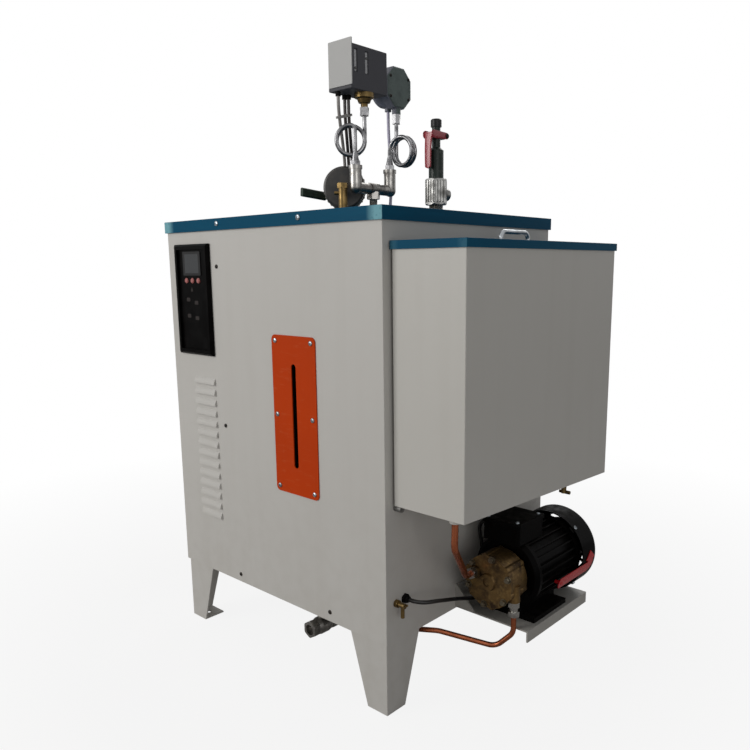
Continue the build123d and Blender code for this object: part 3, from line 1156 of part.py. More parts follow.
with BuildPart() as steam_grip_flat:
    add(block((steam_arm_x - LEVER_THICKNESS / 2 - STEAM_GRIP_THICKNESS / 2, grip_end,
               steam_z - STEAM_GRIP_HEIGHT / 2),
              (steam_arm_x - LEVER_THICKNESS / 2 + STEAM_GRIP_THICKNESS / 2, grip_end + STEAM_GRIP_LENGTH,
               steam_z + STEAM_GRIP_HEIGHT / 2)))
    fillet(steam_grip_flat.edges().filter_by(Axis.Y), 3)
    add(steam_bar.part, mode=Mode.SUBTRACT)
with BuildPart() as steam_grip:
    add(steam_grip_flat.part.rotate(steam_tilt, -STEAM_LEVER_TILT))
write(steam_grip.part, "steam_grip")

# Safety valve: hexagonal body with a side outlet, bonnet, neck and cap
bonnet_low = safety_low + SAFETY_BODY_HEIGHT
neck_low = bonnet_low + SAFETY_BONNET_HEIGHT
outlet_high = safety_low + SAFETY_OUTLET_RISE
with BuildPart() as safety_body:
    add(hex_bar((SAFETY_X, SAFETY_Y, safety_low), UP, SAFETY_HEX, SAFETY_BODY_HEIGHT, 3))
    add(rod((SAFETY_X, SAFETY_Y, outlet_high), (0, 1, 0), SAFETY_OUTLET_RADIUS, SAFETY_OUTLET_REACH))
    add(rod((SAFETY_X, SAFETY_Y + SAFETY_OUTLET_REACH, outlet_high), (0, -1, 0), SAFETY_OUTLET_BORE,
            SAFETY_OUTLET_DEPTH), mode=Mode.SUBTRACT)
write(safety_body.part, "safety_body")
pivot_y = SAFETY_Y + SAFETY_PIVOT_REACH
pivot_z = neck_low + SAFETY_PIVOT_RISE
with BuildPart() as safety_bonnet:
    add(turned((SAFETY_X, SAFETY_Y, bonnet_low), UP,
               [(0, 0), (SAFETY_BONNET_RADIUS, 0), (SAFETY_BONNET_RADIUS, SAFETY_BONNET_HEIGHT - 6),
                (SAFETY_NECK_RADIUS, SAFETY_BONNET_HEIGHT),
                (SAFETY_NECK_RADIUS, SAFETY_BONNET_HEIGHT + SAFETY_NECK_HEIGHT),
                (SAFETY_CAP_RADIUS, SAFETY_BONNET_HEIGHT + SAFETY_NECK_HEIGHT),
                (SAFETY_CAP_RADIUS, SAFETY_BONNET_HEIGHT + SAFETY_NECK_HEIGHT + SAFETY_CAP_HEIGHT - 2),
                (SAFETY_CAP_RADIUS - 2, SAFETY_BONNET_HEIGHT + SAFETY_NECK_HEIGHT + SAFETY_CAP_HEIGHT),
                (0, SAFETY_BONNET_HEIGHT + SAFETY_NECK_HEIGHT + SAFETY_CAP_HEIGHT)]))
    add(block((SAFETY_X - SAFETY_LUG_WIDTH / 2, SAFETY_Y, pivot_z - SAFETY_LUG_RADIUS),
              (SAFETY_X + SAFETY_LUG_WIDTH / 2, pivot_y, pivot_z + SAFETY_LUG_RADIUS)))
    add(rod((SAFETY_X - SAFETY_LUG_WIDTH / 2, pivot_y, pivot_z), (1, 0, 0), SAFETY_LUG_RADIUS,
            SAFETY_LUG_WIDTH))
    add(rod((SAFETY_X - SAFETY_LUG_WIDTH, pivot_y, pivot_z), (1, 0, 0),
            SAFETY_PIN_RADIUS + RUNNING_CLEARANCE, 2 * SAFETY_LUG_WIDTH), mode=Mode.SUBTRACT)
write(safety_bonnet.part, "safety_bonnet")

# Test lever: a fork on a pin behind the neck, its handle hanging in front
fork_half = SAFETY_FORK_GAP / 2 + SAFETY_FORK_SHEET
handle_y = SAFETY_Y - SAFETY_HANDLE_REACH
with BuildPart() as safety_lever:
    with BuildSketch(Plane.YZ.offset(SAFETY_X - fork_half)):
        Polygon((pivot_y, pivot_z - SAFETY_FORK_HEIGHT / 2), (pivot_y, pivot_z + SAFETY_FORK_HEIGHT / 2),
                (handle_y + 4, pivot_z + SAFETY_FORK_HEIGHT / 2), (handle_y, pivot_z),
                (handle_y, pivot_z - SAFETY_FORK_HEIGHT / 2), align=None)
        with Locations((pivot_y, pivot_z)):
            Circle(SAFETY_FORK_HEIGHT / 2)
    extrude(amount=2 * fork_half)
    add(block((SAFETY_X - SAFETY_FORK_GAP / 2, handle_y + SAFETY_HANDLE_SHEET, pivot_z - SAFETY_FORK_HEIGHT),
              (SAFETY_X + SAFETY_FORK_GAP / 2, pivot_y + SAFETY_FORK_HEIGHT, pivot_z + SAFETY_FORK_HEIGHT)),
        mode=Mode.SUBTRACT)
    with BuildSketch(Plane.YZ.offset(SAFETY_X - SAFETY_HANDLE_WIDTH / 2)):
        handle_low = pivot_z - SAFETY_HANDLE_DROP
        handle_foot = handle_y - SAFETY_HANDLE_LEAN
        Polygon((handle_y, pivot_z), (handle_foot, handle_low),
                (handle_foot + SAFETY_HANDLE_SHEET, handle_low), (handle_y + SAFETY_HANDLE_SHEET, pivot_z),
                align=None)
    extrude(amount=SAFETY_HANDLE_WIDTH)
    add(rod((SAFETY_X - fork_half - 2, pivot_y, pivot_z), (1, 0, 0), SAFETY_PIN_RADIUS, 2 * fork_half + 4))
write(safety_lever.part, "safety_lever")

# Cables, each on a smooth route chosen by hand. The box controller's three are
# given by their places across and away along the diagonal and their height
dark_points = [(-79.5, -7, 1129), (-79.5, -7, 1112), (-79.2, -1, 1090), (-78.4, 12, 1066),
               (-77.6, 28, 1041), (-77, 41, 1012), (-76.7, 49, 978), (-76.6, 52, 943), (-76.6, 52, 906)]
light_points = [(-90, -36, 1129), (-90, -36, 1116), (-89.6, -31, 1101), (-88.8, -20, 1085),
                (-87.6, -4, 1067), (-86.4, 15, 1048), (-85.2, 33, 1025), (-84.5, 44, 994),
                (-84.1, 50.5, 961), (-84, 52, 930), (-84, 52, 906)]
dark_route = [on_diagonal(*point) for point in dark_points]
dark_route_beside = [point + ACROSS * CABLE_STEP for point in dark_route]
light_route = [on_diagonal(*point) for point in light_points]
octagon_route = [Vector(43, 58, 1121), Vector(43, 58, 1090), Vector(44, 60, 1050), Vector(46, 61.5, 1005),
                 Vector(47, 61, 960), Vector(45.5, 58.5, 929), Vector(45.5, 58.5, 906)]
pump_route = [(326, -208.5, 215), (335.5, -208.5, 215), (346, -204.3, 214.8), (354.2, -196, 214),
              (358, -184.5, 212.2), (358, -167, 208), (355.5, -142, 199.5), (352.5, -114, 190.5),
              (350.5, -85, 180.8), (349, -58, 171), (346.5, -33, 162.8), (341, -10, 161), (334.5, 8, 168),
              (329.5, 18, 183.5), (326.8, 21.3, 205), (325.3, 20.5, 231), (324.4, 16.5, 256),
              (323.2, 12, 275), (323, 9.6, 290.6), (327.3, 8.5, 300.9), (335.1, 8, 308.7),
              (345.8, 8, 313), (357, 8, 313)]
for name, route, cable_radius in (("cable_dark_1", dark_route, CABLE_RADIUS),
                                  ("cable_dark_2", dark_route_beside, CABLE_RADIUS),
                                  ("cable_light", light_route, CABLE_RADIUS),
                                  ("cable_octagon", octagon_route, CABLE_RADIUS),
                                  ("pump_cable", pump_route, PUMP_CABLE_RADIUS)):
    with BuildPart() as cable:
        add(tube_along(route, easy_radii(route, name), cable_radius))
    write(cable.part, name)

# Grommets: one slot for the three cables and a round one on the lid, and
# sleeves where the three enter the box controller
with BuildPart() as cable_grommets:
    with BuildSketch(Plane(origin=dark_route[-1] - UP * GROMMET_HEIGHT, x_dir=ACROSS, z_dir=UP)):
        SlotOverall(2 * (CABLE_STEP + CABLE_RADIUS + GROMMET_MARGIN), 2 * (CABLE_RADIUS + GROMMET_MARGIN))
    extrude(amount=GROMMET_HEIGHT)
    add(rod(octagon_route[-1], DOWN, CABLE_RADIUS + GROMMET_MARGIN, GROMMET_HEIGHT))
    for entry in (dark_route[0], dark_route_beside[0], light_route[0]):
        add(rod(entry, UP, CABLE_RADIUS + ENTRY_MARGIN, ENTRY_HEIGHT))
write(cable_grommets.part, "cable_grommets")
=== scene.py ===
from math import cos, pi, radians, sin

import bpy
import numpy as np
from mathutils import Matrix, Vector


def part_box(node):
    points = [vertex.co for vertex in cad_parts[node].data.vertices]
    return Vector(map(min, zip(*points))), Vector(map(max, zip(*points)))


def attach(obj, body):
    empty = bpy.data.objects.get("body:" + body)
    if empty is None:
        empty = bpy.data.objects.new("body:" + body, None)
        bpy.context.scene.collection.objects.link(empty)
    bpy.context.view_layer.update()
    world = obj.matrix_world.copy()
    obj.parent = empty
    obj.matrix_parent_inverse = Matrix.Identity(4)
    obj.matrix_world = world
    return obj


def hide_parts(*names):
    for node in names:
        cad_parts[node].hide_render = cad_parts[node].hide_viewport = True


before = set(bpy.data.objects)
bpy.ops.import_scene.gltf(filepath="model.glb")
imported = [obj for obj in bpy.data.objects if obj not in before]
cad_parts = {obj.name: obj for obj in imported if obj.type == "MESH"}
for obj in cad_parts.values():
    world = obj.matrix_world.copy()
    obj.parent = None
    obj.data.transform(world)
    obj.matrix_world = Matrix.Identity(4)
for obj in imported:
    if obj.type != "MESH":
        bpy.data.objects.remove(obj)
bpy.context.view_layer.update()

# The camera stands off the front right corner, a little lower than the tank's
# lid, and looks down at the cabinet, with the lens shifted to the photo's framing.
PHOTO_SIDE = 750
FOCAL_PIXELS = 733.45
CENTRE_ACROSS, CENTRE_DOWN = 400.1, 404.0
SENSOR_WIDTH = 36
camera_place = Vector((1.1325, -1.1374, 0.8009))
camera_yaw, camera_pitch, camera_roll = radians(41.62), radians(-10.52), radians(-0.42)
camera_data = bpy.data.cameras.new("camera")
camera = bpy.data.objects.new("camera", camera_data)
bpy.context.scene.collection.objects.link(camera)
bpy.context.scene.camera = camera
ahead = Vector((-sin(camera_yaw) * cos(camera_pitch), cos(camera_yaw) * cos(camera_pitch),
                sin(camera_pitch)))
level = Vector((cos(camera_yaw), sin(camera_yaw), 0))
upright = level.cross(ahead)
to_right = level * cos(camera_roll) + upright * sin(camera_roll)
to_top = upright * cos(camera_roll) - level * sin(camera_roll)
camera_turn = Matrix((to_right, to_top, -ahead)).transposed()
camera.matrix_world = Matrix.Translation(camera_place) @ camera_turn.to_4x4()
camera_data.sensor_width = SENSOR_WIDTH
camera_data.lens = SENSOR_WIDTH * FOCAL_PIXELS / PHOTO_SIDE
camera_data.shift_x = (PHOTO_SIDE / 2 - CENTRE_ACROSS) / PHOTO_SIDE
camera_data.shift_y = (CENTRE_DOWN - PHOTO_SIDE / 2) / PHOTO_SIDE
camera_data.clip_end = 60


# The pale floor fades into the white surround round the feet. It is a plain
# matt sheet that keeps the object's shadow.
class Term:
    """A shader socket that sums are written on: each operator adds a Math node."""

    def __init__(self, tree, socket):
        self.tree = tree
        self.socket = socket

    def math(self, operation, first, second):
        node = self.tree.nodes.new("ShaderNodeMath")
        node.operation = operation
        for place, value in enumerate((first, second)):
            if isinstance(value, Term):
                self.tree.links.new(value.socket, node.inputs[place])
            else:
                node.inputs[place].default_value = value
        return Term(self.tree, node.outputs[0])

    def __add__(self, other):
        return self.math("ADD", self, other)

    def __radd__(self, other):
        return self.math("ADD", other, self)

    def __sub__(self, other):
        return self.math("SUBTRACT", self, other)

    def __rsub__(self, other):
        return self.math("SUBTRACT", other, self)

    def __mul__(self, other):
        return self.math("MULTIPLY", self, other)

    def __rmul__(self, other):
        return self.math("MULTIPLY", other, self)

    def __truediv__(self, other):
        return self.math("DIVIDE", self, other)

    def __pow__(self, other):
        return self.math("POWER", self, other)

    def __abs__(self):
        return self.math("ABSOLUTE", self, 0)

    def above(self, low, high):
        """0 up to low, 1 from high on, and a straight rise between."""
        rise = (self - low) / (high - low)
        return rise.math("MINIMUM", rise.math("MAXIMUM", rise, 0), 1)

    def between(self, low, high, blur):
        """0 outside low and high, and 1 inside them past an edge as wide as blur."""
        return self.above(low, low + blur) * (1 - self.above(high - blur, high))

    def wave(self):
        """A sine of the value, raised and halved so that it runs from 0 to 1."""
        return self.math("SINE", self, 0) * 0.5 + 0.5


class Finish:
    """A surface finish being put together: a Principled shader and what feeds it."""

    def __init__(self, name):
        self.material = bpy.data.materials.new(name)
        self.material.use_nodes = True
        self.tree = self.material.node_tree
        self.shader = self.tree.nodes["Principled BSDF"]

    def node(self, kind, settings, inputs, out=0):
        """Adds one node: its settings first, then the values or links of its sockets."""
        node = self.tree.nodes.new(kind)
        for name, value in settings.items():
            setattr(node, name, value)
        for socket, value in inputs.items():
            if isinstance(value, Term):
                self.tree.links.new(value.socket, node.inputs[socket])
            else:
                node.inputs[socket].default_value = value
        return Term(self.tree, node.outputs[out])

    def place(self):
        """The point on the object, in metres."""
        return self.node("ShaderNodeTexCoord", {}, {}, "Object")

    def along(self, axis):
        """One coordinate of that point: X, Y or Z."""
        return self.node("ShaderNodeSeparateXYZ", {}, {"Vector": self.place()}, axis)

    def facing(self, axis):
        """One part of the surface's outward direction: X, Y or Z."""
        outward = self.node("ShaderNodeNewGeometry", {}, {}, "Normal")
        return self.node("ShaderNodeSeparateXYZ", {}, {"Vector": outward}, axis)

    def clouds(self, per_metre, detail=2.0, stretch=(1, 1, 1)):
        """Soft noise round 0.5 with so many lumps in a metre."""
        place = self.node("ShaderNodeVectorMath", {"operation": "MULTIPLY"}, {0: self.place(), 1: stretch})
        return self.node("ShaderNodeTexNoise", {}, {"Vector": place, "Scale": per_metre, "Detail": detail})

    def mix(self, share, one, other):
        """One colour where share is 0 and the other where it is 1."""
        return self.node("ShaderNodeMix", {"data_type": "RGBA"}, {0: share, 6: one, 7: other}, 2)

    def relief(self, height, metres, normal=None):
        """A bump of that depth for height from 0 to 1."""
        inputs = {"Strength": 1.0, "Distance": metres, "Height": height}
        if normal is not None:
            inputs["Normal"] = normal
        return self.node("ShaderNodeBump", {}, inputs)

    def feed(self, **sockets):
        """Sets or links the shader's sockets, an underscore standing for a space."""
        for name, value in sockets.items():
            socket = self.shader.inputs[name.replace("_", " ")]
            if isinstance(value, Term):
                self.tree.links.new(value.socket, socket)
            else:
                socket.default_value = value


def shade(red, green, blue):
    """A linear colour from screen values of 0 to 255."""
    return tuple(((value / 255 + 0.055) / 1.055) ** 2.4 for value in (red, green, blue)) + (1,)


FLOOR_REACH = 20
NEAR_GLOW = 0.88
GLOW_FROM, GLOW_TO = 0.6, 1.8
floor_finish = Finish("floor_finish")
floor_finish.feed(Base_Color=shade(176, 174, 172), Roughness=0.9, Specular_IOR_Level=0.1)
white = floor_finish.node("ShaderNodeEmission", {}, {"Color": (1, 1, 1, 1), "Strength": 1.0})
looked_at = floor_finish.node("ShaderNodeLightPath", {}, {}, "Is Camera Ray")
from_middle = floor_finish.node("ShaderNodeVectorMath", {"operation": "LENGTH"},
                                {0: floor_finish.place()}, "Value")
glow = NEAR_GLOW + (1 - NEAR_GLOW) * from_middle.above(GLOW_FROM, GLOW_TO)
matt = Term(floor_finish.tree, floor_finish.shader.outputs[0])
floor_mix = floor_finish.node("ShaderNodeMixShader", {}, {0: looked_at * glow, 1: matt, 2: white})
floor_finish.tree.links.new(floor_mix.socket, floor_finish.tree.nodes["Material Output"].inputs["Surface"])
floor_mesh = bpy.data.meshes.new("floor")
floor_corners = [(x * FLOOR_REACH, y * FLOOR_REACH, 0) for x, y in ((-1, -1), (1, -1), (1, 1), (-1, 1))]
floor_mesh.from_pydata(floor_corners, [], [(0, 1, 2, 3)])
floor_mesh.materials.append(floor_finish.material)
floor = bpy.data.objects.new("floor", floor_mesh)
bpy.context.scene.collection.objects.link(floor)

# The surround looks white, also through glass and half so in gloss, but lights
# the object dimly. A wide soft lamp to the left lights the front more than the side.
DIM_LIGHT = 0.27
GLOSS_SHARE = 0.5
LAMP_TINT = (1, 0.985, 0.965)
surround = bpy.data.worlds.new("surround")
bpy.context.scene.world = surround
surround.use_nodes = True
sky = surround.node_tree
seen = sky.nodes.new("ShaderNodeLightPath")
pale = sky.nodes.new("ShaderNodeBackground")
pale.inputs["Color"].default_value = (1, 1, 1, 1)
pale.inputs["Strength"].default_value = 1.0
dim = sky.nodes["Background"]
dim.inputs["Color"].default_value = (0.96, 0.97, 1, 1)
dim.inputs["Strength"].default_value = DIM_LIGHT
either = sky.nodes.new("ShaderNodeMixShader")
shown = Term(sky, seen.outputs["Is Camera Ray"]) + Term(sky, seen.outputs["Is Transmission Ray"])
shown = shown + Term(sky, seen.outputs["Is Glossy Ray"]) * GLOSS_SHARE
sky.links.new(shown.math("MINIMUM", shown, 1).socket, either.inputs[0])
sky.links.new(dim.outputs[0], either.inputs[1])
sky.links.new(pale.outputs[0], either.inputs[2])
sky.links.new(either.outputs[0], sky.nodes["World Output"].inputs["Surface"])
bpy.context.scene.view_settings.view_transform = "Standard"


def lamp(name, place, target, size, watts):
    """A square soft lamp at a place, turned towards a target."""
    data = bpy.data.lights.new(name, "AREA")
    data.size = size
    data.energy = watts
    data.color = LAMP_TINT
    lamp_object = bpy.data.objects.new(name, data)
    turn = (Vector(target) - Vector(place)).to_track_quat("-Z", "Y").to_matrix()
    lamp_object.matrix_world = Matrix.Translation(place) @ turn.to_4x4()
    bpy.context.scene.collection.objects.link(lamp_object)


lamp("key", (-1.7, -3.6, 1.9), (0, 0, 0.5), 2.2, 84)
lamp("fill", (3.6, -1.8, 0.9), (0.2, 0, 0.3), 2.0, 17)
lamp("back", (-1.0, 3.2, 2.8), (0, 0, 0.7), 2.4, 40)

# Cables run from the box controller down to a slot in the lid, from the
# octagonal controller to the lid beside it, and from the wall to the motor.
DIAGONAL = radians(41.63)
across_way = np.array((cos(DIAGONAL), sin(DIAGONAL), 0))
away_way = np.array((-sin(DIAGONAL), cos(DIAGONAL), 0))
group_centre = np.array((0.088, -0.0005, 0))


def on_diagonal(across, away, height):
    """The point so far across and away along the diagonal the gauge stands on."""
    return tuple(group_centre + across_way * across + away_way * away + np.array((0, 0, height)))


def sheath(name, colour, gloss):
    """Extruded rubber: a soft sheen, a fine grain, and dust on what faces up."""
    finish = Finish(name)
    dust = finish.clouds(60, 4).above(0.45, 0.75) * finish.facing("Z").above(0.1, 0.9)
    dusty = tuple(0.75 * value + 0.06 for value in colour[:3]) + (1,)
    finish.feed(Base_Color=finish.mix(dust, colour, dusty), Roughness=gloss + 0.25 * dust,
                Normal=finish.relief(finish.clouds(900, 1), 0.00008))
    return finish


def route_curve(name, points):
    """A smooth line: one NURBS spline with the route's points as its control points."""
    curve = bpy.data.curves.new(name, "CURVE")
    curve.dimensions = "3D"
    spline = curve.splines.new("NURBS")
    spline.points.add(len(points) - 1)
    for place, point in zip(spline.points, points):
        place.co = (*point, 1)
    spline.order_u = 3
    spline.use_endpoint_u = True
    return curve


def free_cable(node, points, radius, finish):
    """A round cable along its route's smooth line, in place of the node's plain tube."""
    curve = route_curve(node + "_line", points)
    curve.bevel_depth = radius
    curve.bevel_resolution = 5
    curve.resolution_u = 10
    curve.use_fill_caps = True
    curve.materials.append(finish.material)
    cable = bpy.data.objects.new(node + "_sheathed", curve)
    bpy.context.scene.collection.objects.link(cable)
    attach(cable, "cabinet")
    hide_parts(node)
    return cable


black_sheath = sheath("black_sheath", shade(18, 17, 17), 0.42)
brown_sheath = sheath("brown_sheath", shade(74, 68, 66), 0.4)
grey_sheath = sheath("grey_sheath", shade(156, 152, 148), 0.34)
lavender_sheath = sheath("lavender_sheath", shade(196, 192, 214), 0.4)
CABLE_RADIUS = 0.00325
CABLE_STEP = 0.0074
PUMP_CABLE_RADIUS = 0.00375
dark_places = [(-0.0795, -0.007, 1.129), (-0.0795, -0.007, 1.112), (-0.0792, -0.001, 1.09),
               (-0.0784, 0.012, 1.066), (-0.0776, 0.028, 1.041), (-0.077, 0.041, 1.012),
               (-0.0767, 0.049, 0.978), (-0.0766, 0.052, 0.943), (-0.0766, 0.052, 0.906)]
light_places = [(-0.09, -0.036, 1.129), (-0.09, -0.036, 1.116), (-0.0896, -0.031, 1.101),
                (-0.0888, -0.02, 1.085), (-0.0876, -0.004, 1.067), (-0.0864, 0.015, 1.048),
                (-0.0852, 0.033, 1.025), (-0.0845, 0.044, 0.994), (-0.0841, 0.0505, 0.961),
                (-0.084, 0.052, 0.93), (-0.084, 0.052, 0.906)]
dark_points = [on_diagonal(*place) for place in dark_places]
beside_points = [on_diagonal(across + CABLE_STEP, away, height)
                 for across, away, height in dark_places]
light_points = [on_diagonal(*place) for place in light_places]
octagon_points = [(0.043, 0.058, 1.121), (0.043, 0.058, 1.09), (0.044, 0.06, 1.05),
                  (0.046, 0.0615, 1.005), (0.047, 0.061, 0.96), (0.0455, 0.0585, 0.929),
                  (0.0455, 0.0585, 0.906)]
pump_points = [(0.326, -0.2085, 0.215), (0.3355, -0.2085, 0.215), (0.346, -0.2043, 0.2148),
               (0.3542, -0.196, 0.214), (0.358, -0.1845, 0.2122), (0.358, -0.167, 0.208),
               (0.3555, -0.142, 0.1995), (0.3525, -0.114, 0.1905), (0.3505, -0.085, 0.1808),
               (0.349, -0.058, 0.171), (0.3465, -0.033, 0.1628), (0.341, -0.01, 0.161),
               (0.3345, 0.008, 0.168), (0.3295, 0.018, 0.1835), (0.3268, 0.0213, 0.205),
               (0.3253, 0.0205, 0.231), (0.3244, 0.0165, 0.256), (0.3232, 0.012, 0.275),
               (0.323, 0.0096, 0.2906), (0.3273, 0.0085, 0.3009), (0.3351, 0.008, 0.3087),
               (0.3458, 0.008, 0.313), (0.357, 0.008, 0.313)]
for node, points, radius, length, finish in (
        ("cable_dark_1", dark_points, CABLE_RADIUS, 0.235, brown_sheath),
        ("cable_dark_2", beside_points, CABLE_RADIUS, 0.235, brown_sheath),
        ("cable_light", light_points, CABLE_RADIUS, 0.249, grey_sheath),
        ("cable_octagon", octagon_points, CABLE_RADIUS, 0.215, lavender_sheath),
        ("pump_cable", pump_points, PUMP_CABLE_RADIUS, 0.417, black_sheath)):
    cable = free_cable(node, points, radius, finish)
    2 * radius


# The cabinet is folded from thin steel sheet, powder-coated a warm pale grey,
# and stands on four folded legs welded under its corners.
def dress(finish, *nodes):
    """Puts a finish on those CAD nodes."""
    for node in nodes:
        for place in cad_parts[node].material_slots:
            place.material = finish.material


def powder_coat(name, colour, soiled):
    """Baked powder on sheet steel: orange peel, slight waves, smears and dust towards the floor."""
    finish = Finish(name)
    smear = finish.clouds(6, 5).above(0.46, 0.72)
    run = finish.clouds(24, 3, (1, 1, 0.05)).above(0.5, 0.74)
    splash = (1 - finish.along("Z").above(0.02, 0.5)) * finish.clouds(38, 4).above(0.4, 0.7)
    specks = finish.clouds(420, 2).above(0.72, 0.78)
    grime = 0.04 * smear + 0.05 * run + 0.1 * splash + 0.18 * specks
    peel = finish.relief(finish.clouds(1100, 1), 0.00003)
    finish.feed(Base_Color=finish.mix(grime, colour, soiled), Roughness=0.42 + 0.25 * grime,
                Specular_IOR_Level=0.3, Normal=finish.relief(finish.clouds(4.5, 1), 0.001, peel))
    return finish


cabinet_coat = powder_coat("cabinet_coat", shade(196, 194, 189), shade(140, 130, 114))
dress(cabinet_coat, "front_panel", "back_panel", "right_panel", "left_panel", "base_pan")
dress(cabinet_coat, "front_right_leg", "front_left_leg", "rear_right_leg", "rear_left_leg")


def square_to(outward):
    """Two directions across a unit direction, the second being outward x first."""
    outward = np.array(outward, float)
    start = np.array((0, 0, 1.0)) if abs(outward[2]) < 0.9 else np.array((1.0, 0, 0))
    first = np.cross(start, outward)
    first /= np.linalg.norm(first)
    return first, np.cross(outward, first)


def skin(name, patches, finish, body="cabinet", crease=38):
    """One piece from patches of rows x columns x 3 points. Each row is a closed loop that
    runs anticlockwise seen from the last row, and the first and last rows are shut."""
    faces, start = [], 0
    for patch in patches:
        rows, columns = patch.shape[:2]
        at = start + np.arange(rows * columns).reshape(rows, columns)
        beside = np.roll(at, -1, axis=1)
        faces += np.stack((at[:-1], beside[:-1], beside[1:], at[1:]), axis=-1).reshape(-1, 4).tolist()
        faces += [at[0][::-1].tolist(), at[-1].tolist()]
        start += rows * columns
    mesh = bpy.data.meshes.new(name)
    mesh.from_pydata(np.concatenate([patch.reshape(-1, 3) for patch in patches]).tolist(), [], faces)
    mesh.polygons.foreach_set("use_smooth", np.ones(len(mesh.polygons), bool))
    mesh.set_sharp_from_angle(angle=radians(crease))
    mesh.materials.append(finish.material)
    piece = bpy.data.objects.new(name, mesh)
    bpy.context.scene.collection.objects.link(piece)
    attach(piece, body)
    return piece


def pan_head(place, outward, radius, height, spin=0.4):
    """A domed screw head: over the radius share s it rises by a rim and by the root of
    1 - s squared, less a cross-shaped recess where either coordinate is small."""
    columns = 32
    rim = 0.35
    slot_half, slot_reach, slot_depth = 0.14, 0.56, 0.5
    share = np.concatenate(((1, 1), np.linspace(0.97, 0.03, 11)))[:, None]
    angle = np.linspace(0, 2 * pi, columns, endpoint=False)[None, :]
    rise = height * (rim + (1 - rim) * np.sqrt(np.maximum(1 - share ** 2, 0)))
    rise = np.repeat(rise, columns, axis=1)
    rise[0] = 0
    along, beside = abs(share * np.cos(angle + spin)), abs(share * np.sin(angle + spin))
    cross = (np.minimum(along, beside) < slot_half) & (np.maximum(along, beside) < slot_reach)
    rise = rise - cross * height * slot_depth
    first, second = square_to(outward)
    flat = share * radius * np.cos(angle), share * radius * np.sin(angle)
    return (np.array(place) + flat[0][..., None] * first + flat[1][..., None] * second
            + rise[..., None] * np.array(outward, float))


def plated(name, colour, gloss, tarnish, metal=1.0):
    """Plated or bare metal: a fine grain, and tarnish that is duller in patches."""
    finish = Finish(name)
    cloud = finish.clouds(55, 4).above(0.4, 0.72)
    fine = finish.clouds(900, 2).above(0.3, 0.7)
    finish.feed(Base_Color=finish.mix(0.75 * cloud, colour, tarnish), Metallic=metal,
                Roughness=gloss + 0.22 * cloud + 0.08 * fine,
                Normal=finish.relief(finish.clouds(700, 2), 0.00004))
    return finish


screw_zinc = plated("screw_zinc", shade(178, 186, 192), 0.26, shade(96, 98, 98))
blackened = plated("blackened_screw", shade(38, 36, 34), 0.4, shade(70, 62, 54), 0.6)
FACE_Y = -0.2575
FACE_SCREW_RADIUS, FACE_SCREW_HEIGHT = 0.0042, 0.0026
face_screws = [(-0.141, 0.806), (-0.137, 0.479), (-0.109, 0.157), (0.169, 0.159)]
skin("cabinet_face_screws",
     [pan_head((x, FACE_Y, z), (0, -1, 0), FACE_SCREW_RADIUS, FACE_SCREW_HEIGHT, x * 9)
      for x, z in face_screws], blackened)


# The lid is a folded tray in blue enamel, held by two screws through its
# front rim. Its front rim has a painted highlight near the corners; the enamel is dusty on top.
def lid_enamel(name, paler_by, reach, corner, other_corner):
    """Blue enamel with a painted highlight: paler by that share on the front rim within reach of a box's
    corner.
    """
    finish = Finish(name)
    middle = [(low + high) / 2 for low, high in zip(corner, other_corner)]
    half = [(high - low) / 2 for low, high in zip(corner, other_corner)]
    out_x = abs(finish.along("X") - middle[0])
    out_y = abs(finish.along("Y") - middle[1])
    near_x = out_x.above(half[0] - reach, half[0] - 0.45 * reach)
    near_y = out_y.above(half[1] - reach, half[1] - 0.45 * reach)
    in_front = 1 - finish.facing("Y").above(-0.9, -0.6)
    # The front rim near the corners is painted a paler blue: a painted highlight.
    corner_highlight = near_x * near_y * in_front * finish.clouds(160, 3).above(0.1, 0.45)
    dust = finish.facing("Z").above(0.6, 0.95) * finish.clouds(14, 5).above(0.35, 0.75)
    streak = finish.clouds(50, 3, (0.12, 0.12, 1)).above(0.52, 0.72)
    painted = finish.mix(0.3 * streak, shade(2, 74, 102), shade(4, 90, 120))
    dusty = finish.mix(0.25 * dust, painted, shade(48, 100, 118))
    finish.feed(Base_Color=finish.mix(paler_by * corner_highlight, dusty, shade(128, 182, 192)),
                Roughness=0.4 + 0.3 * dust, Specular_IOR_Level=0.05,
                Normal=finish.relief(finish.clouds(1000, 1), 0.00003))
    return finish


dress(lid_enamel("cabinet_lid_enamel", 0.85, 0.036, *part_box("cabinet_lid")), "cabinet_lid")
RIM_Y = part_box("cabinet_lid")[0].y
RIM_SCREW_Z = 0.8895
RIM_SCREW_RADIUS, RIM_SCREW_HEIGHT = 0.0052, 0.003
skin("lid_screws",
     [pan_head((x, RIM_Y, RIM_SCREW_Z), (0, -1, 0), RIM_SCREW_RADIUS, RIM_SCREW_HEIGHT, 9 * x)
      for x in (-0.128, 0.117)], screw_zinc)


# The control panel is a moulded black frame let into the front, with a
# smoked display, three signal lamps and a few small membrane keys.
def moulded(name, colour, gloss, grain):
    """Moulded plastic: a fine spark grain, finger smears and a little dust."""
    finish = Finish(name)
    smear = finish.clouds(45, 4).above(0.45, 0.72)
    pale = tuple(0.95 * value + 0.003 for value in colour[:3]) + (1,)
    finish.feed(Base_Color=finish.mix(0.4 * smear, colour, pale), Roughness=gloss + 0.15 * smear,
                Specular_IOR_Level=0.04, Normal=finish.relief(finish.clouds(1600, 2), grain))
    return finish


